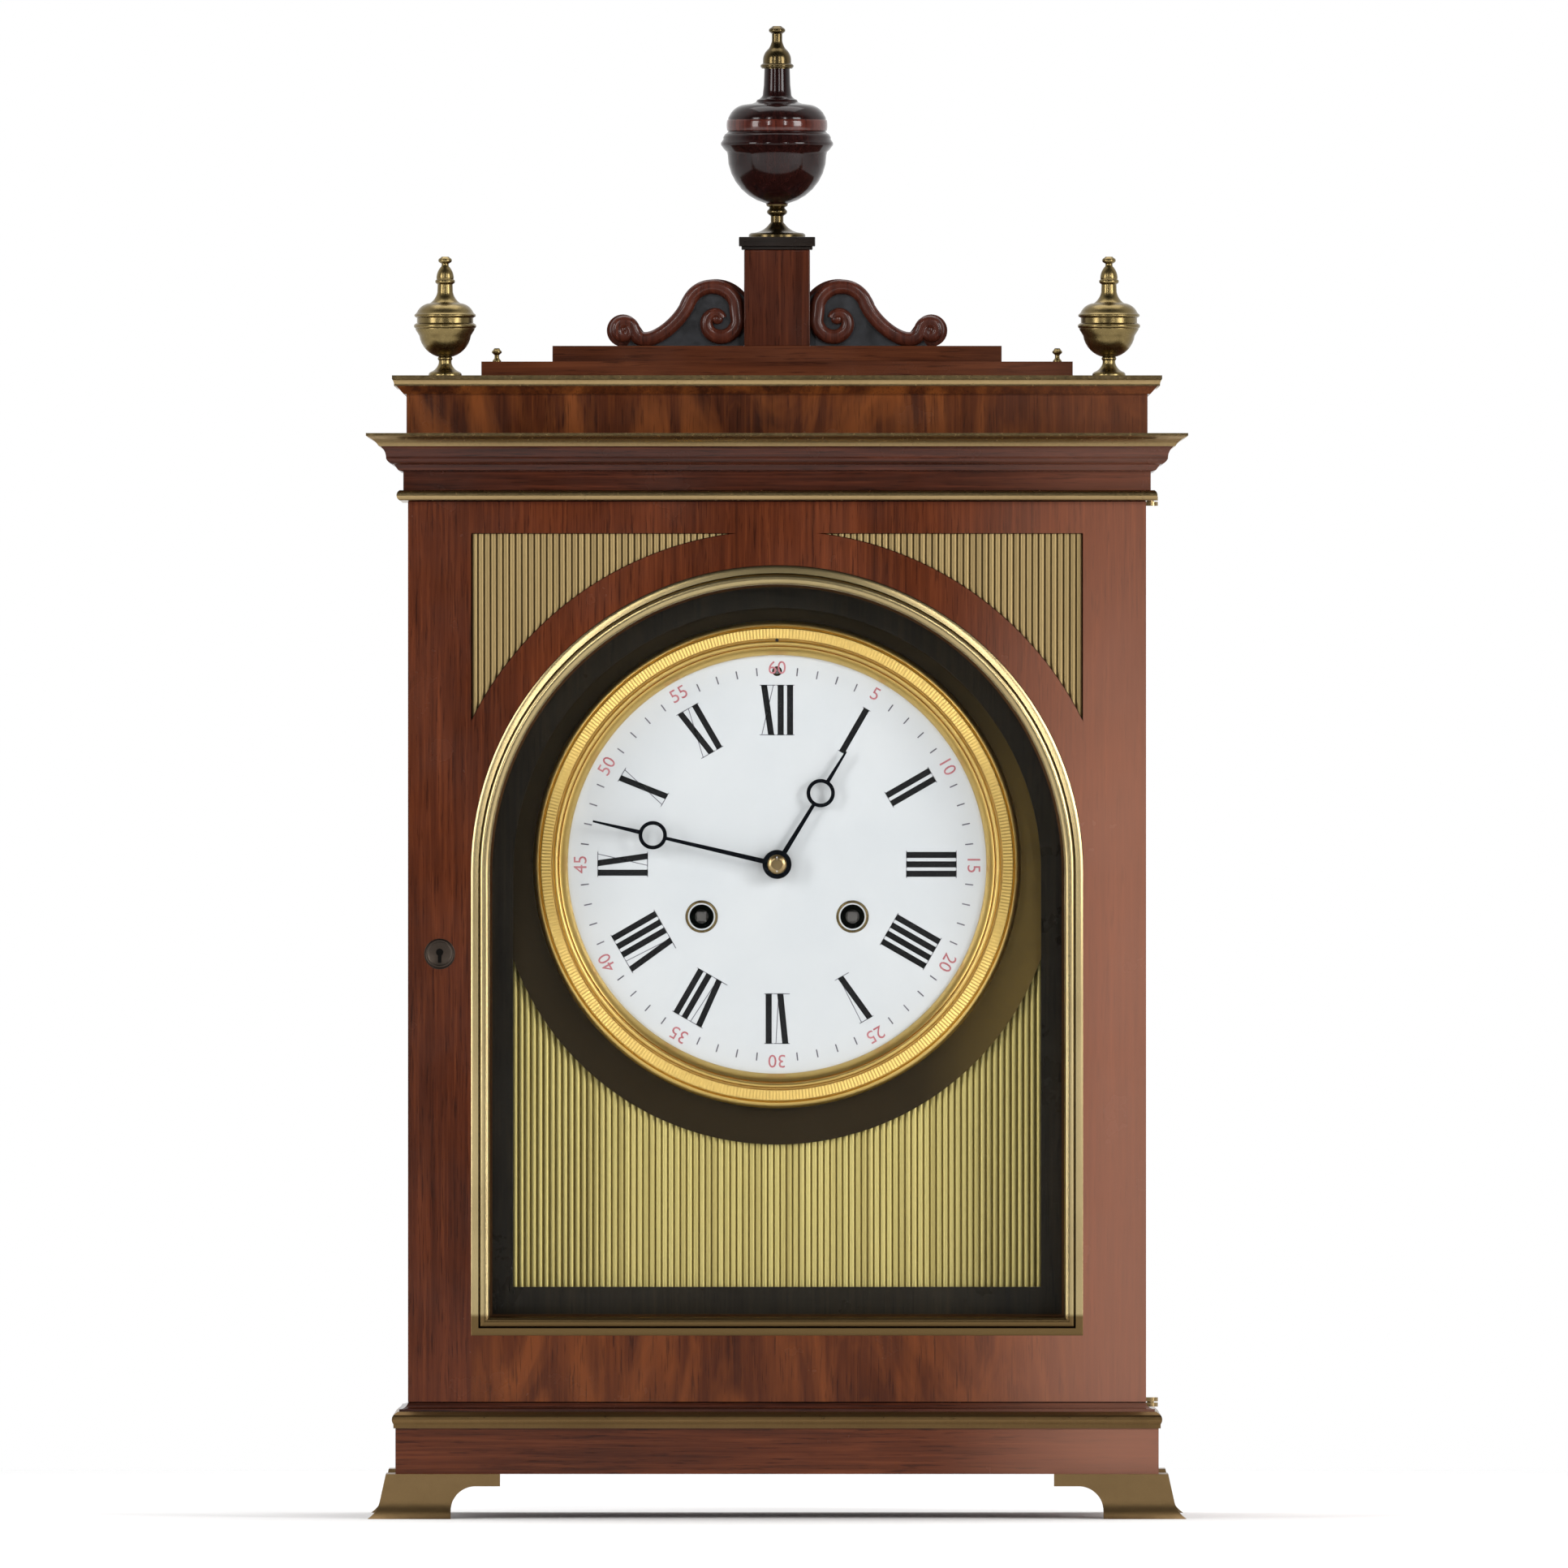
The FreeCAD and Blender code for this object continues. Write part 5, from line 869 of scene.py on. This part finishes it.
DIE_HALF, DIE_EASE = 11.4 * MM, 0.5 * MM
CAP_HEIGHT, CAP_NECK, CAP_EASE = 4.4 * MM, 1.2 * MM, 0.3 * MM
NECK_OVERHANG, CAP_OVERHANG = 0.9 * MM, 1.8 * MM
die_low, die_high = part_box("pedestal")
Z_DIE = die_low[2]
z_cap = die_high[2] - CAP_HEIGHT


def square_block(half, low_z, high_z, ease):
    """An eased block, square on plan, on the axis of the pedestal."""
    return eased_box((-half, MIDDLE_Y - half, low_z), (half, MIDDLE_Y + half, high_z), ease)


die = solid("pedestal_die", *square_block(DIE_HALF, Z_DIE, z_cap, DIE_EASE), DIE_WOOD, "case", 20.0)
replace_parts(die, "pedestal")
neck = square_block(DIE_HALF + NECK_OVERHANG, z_cap, z_cap + CAP_NECK, CAP_EASE)
cap = square_block(DIE_HALF + CAP_OVERHANG, z_cap + CAP_NECK, z_cap + CAP_HEIGHT, CAP_EASE)
solid("pedestal_cap", *joined(neck, cap), CAP_WOOD, "case", 20.0)

SCROLL_RELIEF, BAND_HALF, BAND_END_HALF, TAPER_SHARE = 3.0 * MM, 2.5 * MM, 1.7 * MM, 0.2
scroll_low, scroll_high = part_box("scroll_brackets")


def curl(centre_x, centre_z, start_radius, end_radius, start, end, steps=40):
    """Points of a spiral, angles in degrees from +X towards +Z."""
    path = []
    for step in range(steps + 1):
        share = step / steps
        angle = math.radians(start + (end - start) * share)
        radius = start_radius + (end_radius - start_radius) * share
        path.append(Vector((centre_x + radius * math.cos(angle),
                            centre_z + radius * math.sin(angle))))
    return path


def sweep_between(start, toward_start, toward_end, end, steps=24):
    """A cubic curve between two points."""
    path = []
    for step in range(1, steps):
        share, rest = step / steps, 1 - step / steps
        path.append(start * rest ** 3 + toward_start * 3 * rest ** 2 * share
                    + toward_end * 3 * rest * share ** 2 + end * share ** 3)
    return path


def scroll_path():
    """The middle line of the raised band, in millimetres from the foot of the pedestal."""
    inner = curl(20.4, 8.8, 1.6, 6.9, 500, 180)
    hump = curl(22.3, 11.9, 8.6, 8.9, 162, 22)
    outer = curl(53.0, 5.4, 3.3, 1.3, 180, -230)
    slope = sweep_between(hump[-1], Vector((33.8, 7.0)), Vector((46.6, -2.4)), outer[0])
    return [point * MM for point in inner + hump + slope + outer]


def raised_band(path, front_y, relief):
    """A band with a rounded face that follows a path of (x, height) and narrows at its ends."""
    section = ((-1.0, 1.0), (-1.0, 0.45), (-0.72, 0.12), (-0.3, 0.0), (0.3, 0.0), (0.72, 0.12),
               (1.0, 0.45), (1.0, 1.0))
    rows, last = len(section), len(path) - 1
    vertices = []
    for spot, point in enumerate(path):
        ahead = (path[min(spot + 1, last)] - path[max(spot - 1, 0)]).normalized()
        side = Vector((-ahead.y, ahead.x))
        taper = min(1.0, min(spot, last - spot) / (last * TAPER_SHARE))
        half = BAND_END_HALF + (BAND_HALF - BAND_END_HALF) * taper
        for across, depth in section:
            place = point + side * across * half
            vertices.append((place.x, front_y + relief * depth, Z_DIE + place.y))
    return vertices, skin(len(path), rows) + end_faces(len(path), rows)


BOARD = [(11.4, 0), (52.0, 0), (50.0, 3.0), (46.4, 2.6, -0.25), (33.4, 9.6, 0.6), (11.4, 17.2)]
BACK_BOARD = [(11.4, 0), (53.3, 0, 1.73), (48.43, 8.4), (46.02, 5.0, -0.25), (34.45, 11.5, 0.65),
              (11.4, 19.0)]
EYE = [(0.3, 0.0), (0.4, 1.2), (1.0, 1.9), (3.0, 2.0), (3.0, 0.0)]
EYE_PLACES = ((20.6, 9.6), (53.0, 5.7))
BACKING = 0.6 * MM


def board(outline, front_y, back_y):
    """A sawn board behind the carving, from an outline beside the pedestal in millimetres."""
    sawn = [(point.x, Z_DIE + point.y) for point in bent(scaled(outline), 24)]
    return plate(sawn, front_y, back_y)


band = raised_band(scroll_path(), scroll_low[1], SCROLL_RELIEF)
eyes = [lathe(facing(EYE, scroll_low[1]), Vector((x * MM, 0, Z_DIE + z * MM)), 32, lying=True)
        for x, z in EYE_PLACES]
carving = joined(band, *eyes)
scrolls = solid("scroll_carving", *joined(carving, reflected(carving)), SCROLL_WOOD, "case", 50.0)
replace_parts(scrolls, "scroll_brackets")
ground = board(BOARD, scroll_low[1] + SCROLL_RELIEF, scroll_high[1] - BACKING)
solid("scroll_grounds", *joined(ground, reflected(ground)), BLACK_PAINT, "case")
backing = board(BACK_BOARD, scroll_high[1] - BACKING, scroll_high[1])
solid("scroll_backs", *joined(backing, reflected(backing)), SCROLL_WOOD, "case")

# ---------------------------------------------------------------- camera, light and floor
PIXEL = 0.2793 * MM
PHOTO_PIXELS = 1932
CAMERA_X, CAMERA_Z = 2.4 * MM, 252.8 * MM
LENS, SENSOR, CLIP_END = 1200.0, 36.0, 50.0
camera_data = bpy.data.cameras.new("camera")
camera_data.lens = LENS
camera_data.sensor_width = SENSOR
camera_data.sensor_fit = "HORIZONTAL"
camera = bpy.data.objects.new("camera", camera_data)
camera.location = (CAMERA_X, FRONT - PHOTO_PIXELS * PIXEL * LENS / SENSOR, CAMERA_Z)
camera.rotation_euler = (math.radians(90), 0, 0)
camera_data.clip_end = CLIP_END
bpy.context.scene.collection.objects.link(camera)
bpy.context.scene.camera = camera


def lamp(name, place, aim, size, power):
    """A white area lamp, sizes in metres and power in watts."""
    data = bpy.data.lights.new(name, "AREA")
    data.shape = "RECTANGLE"
    data.size, data.size_y = size
    data.energy = power
    light = bpy.data.objects.new(name, data)
    light.location = place
    light.rotation_euler = (Vector(aim) - Vector(place)).to_track_quat("-Z", "Y").to_euler()
    bpy.context.scene.collection.objects.link(light)


AIM = (0.0, 0.0, 0.26)
lamp("key_right", (1.9, -1.7, 0.9), AIM, (0.8, 1.4), 42.0)
lamp("soft_left", (-1.9, -1.5, 0.8), AIM, (0.6, 1.4), 26.0)
lamp("strip_right", (1.0, -2.9, 1.2), AIM, (0.22, 1.6), 18.0)
lamp("strip_left", (-1.0, -2.9, 1.2), AIM, (0.22, 1.6), 18.0)
lamp("overhead", (0.0, 0.5, 2.2), (0.0, 0.5, 0.0), (1.8, 1.4), 18.0)

# A white studio behind the clock that grows dark towards the camera, so polish stays deep.
DARK_TOWARDS, WHITE_BEYOND, DARK_LEVEL = -0.45, 0.25, 0.03
world = bpy.data.worlds.new("studio")
bpy.context.scene.world = world
world.use_nodes = True
sky = world.node_tree.nodes
sky_links = world.node_tree.links
direction = sky.new("ShaderNodeTexCoord")
split = sky.new("ShaderNodeSeparateXYZ")
sky_links.new(direction.outputs["Generated"], split.inputs["Vector"])
level = sky.new("ShaderNodeMapRange")
level.interpolation_type = "SMOOTHSTEP"
for socket, value in (("From Min", DARK_TOWARDS), ("From Max", WHITE_BEYOND),
                      ("To Min", DARK_LEVEL), ("To Max", 1.0)):
    level.inputs[socket].default_value = value
sky_links.new(split.outputs["Y"], level.inputs["Value"])
sky_links.new(level.outputs["Result"], sky["Background"].inputs["Strength"])
sky["Background"].inputs["Color"].default_value = (1.0, 1.0, 1.0, 1.0)
bpy.context.scene.view_settings.view_transform = "Standard"

FLOOR_SIDE, FLOOR_FRONT, FLOOR_BACK = 2.3, 2.3, 1.2
floor_mesh = bpy.data.meshes.new("floor")
floor_mesh.from_pydata([(-FLOOR_SIDE, -FLOOR_FRONT, 0), (FLOOR_SIDE, -FLOOR_FRONT, 0),
                        (FLOOR_SIDE, FLOOR_BACK, 0), (-FLOOR_SIDE, FLOOR_BACK, 0)], [],
                       [(0, 1, 2, 3)])
floor_mesh.materials.append(FLOOR)
floor = bpy.data.objects.new("floor", floor_mesh)
bpy.context.scene.collection.objects.link(floor)
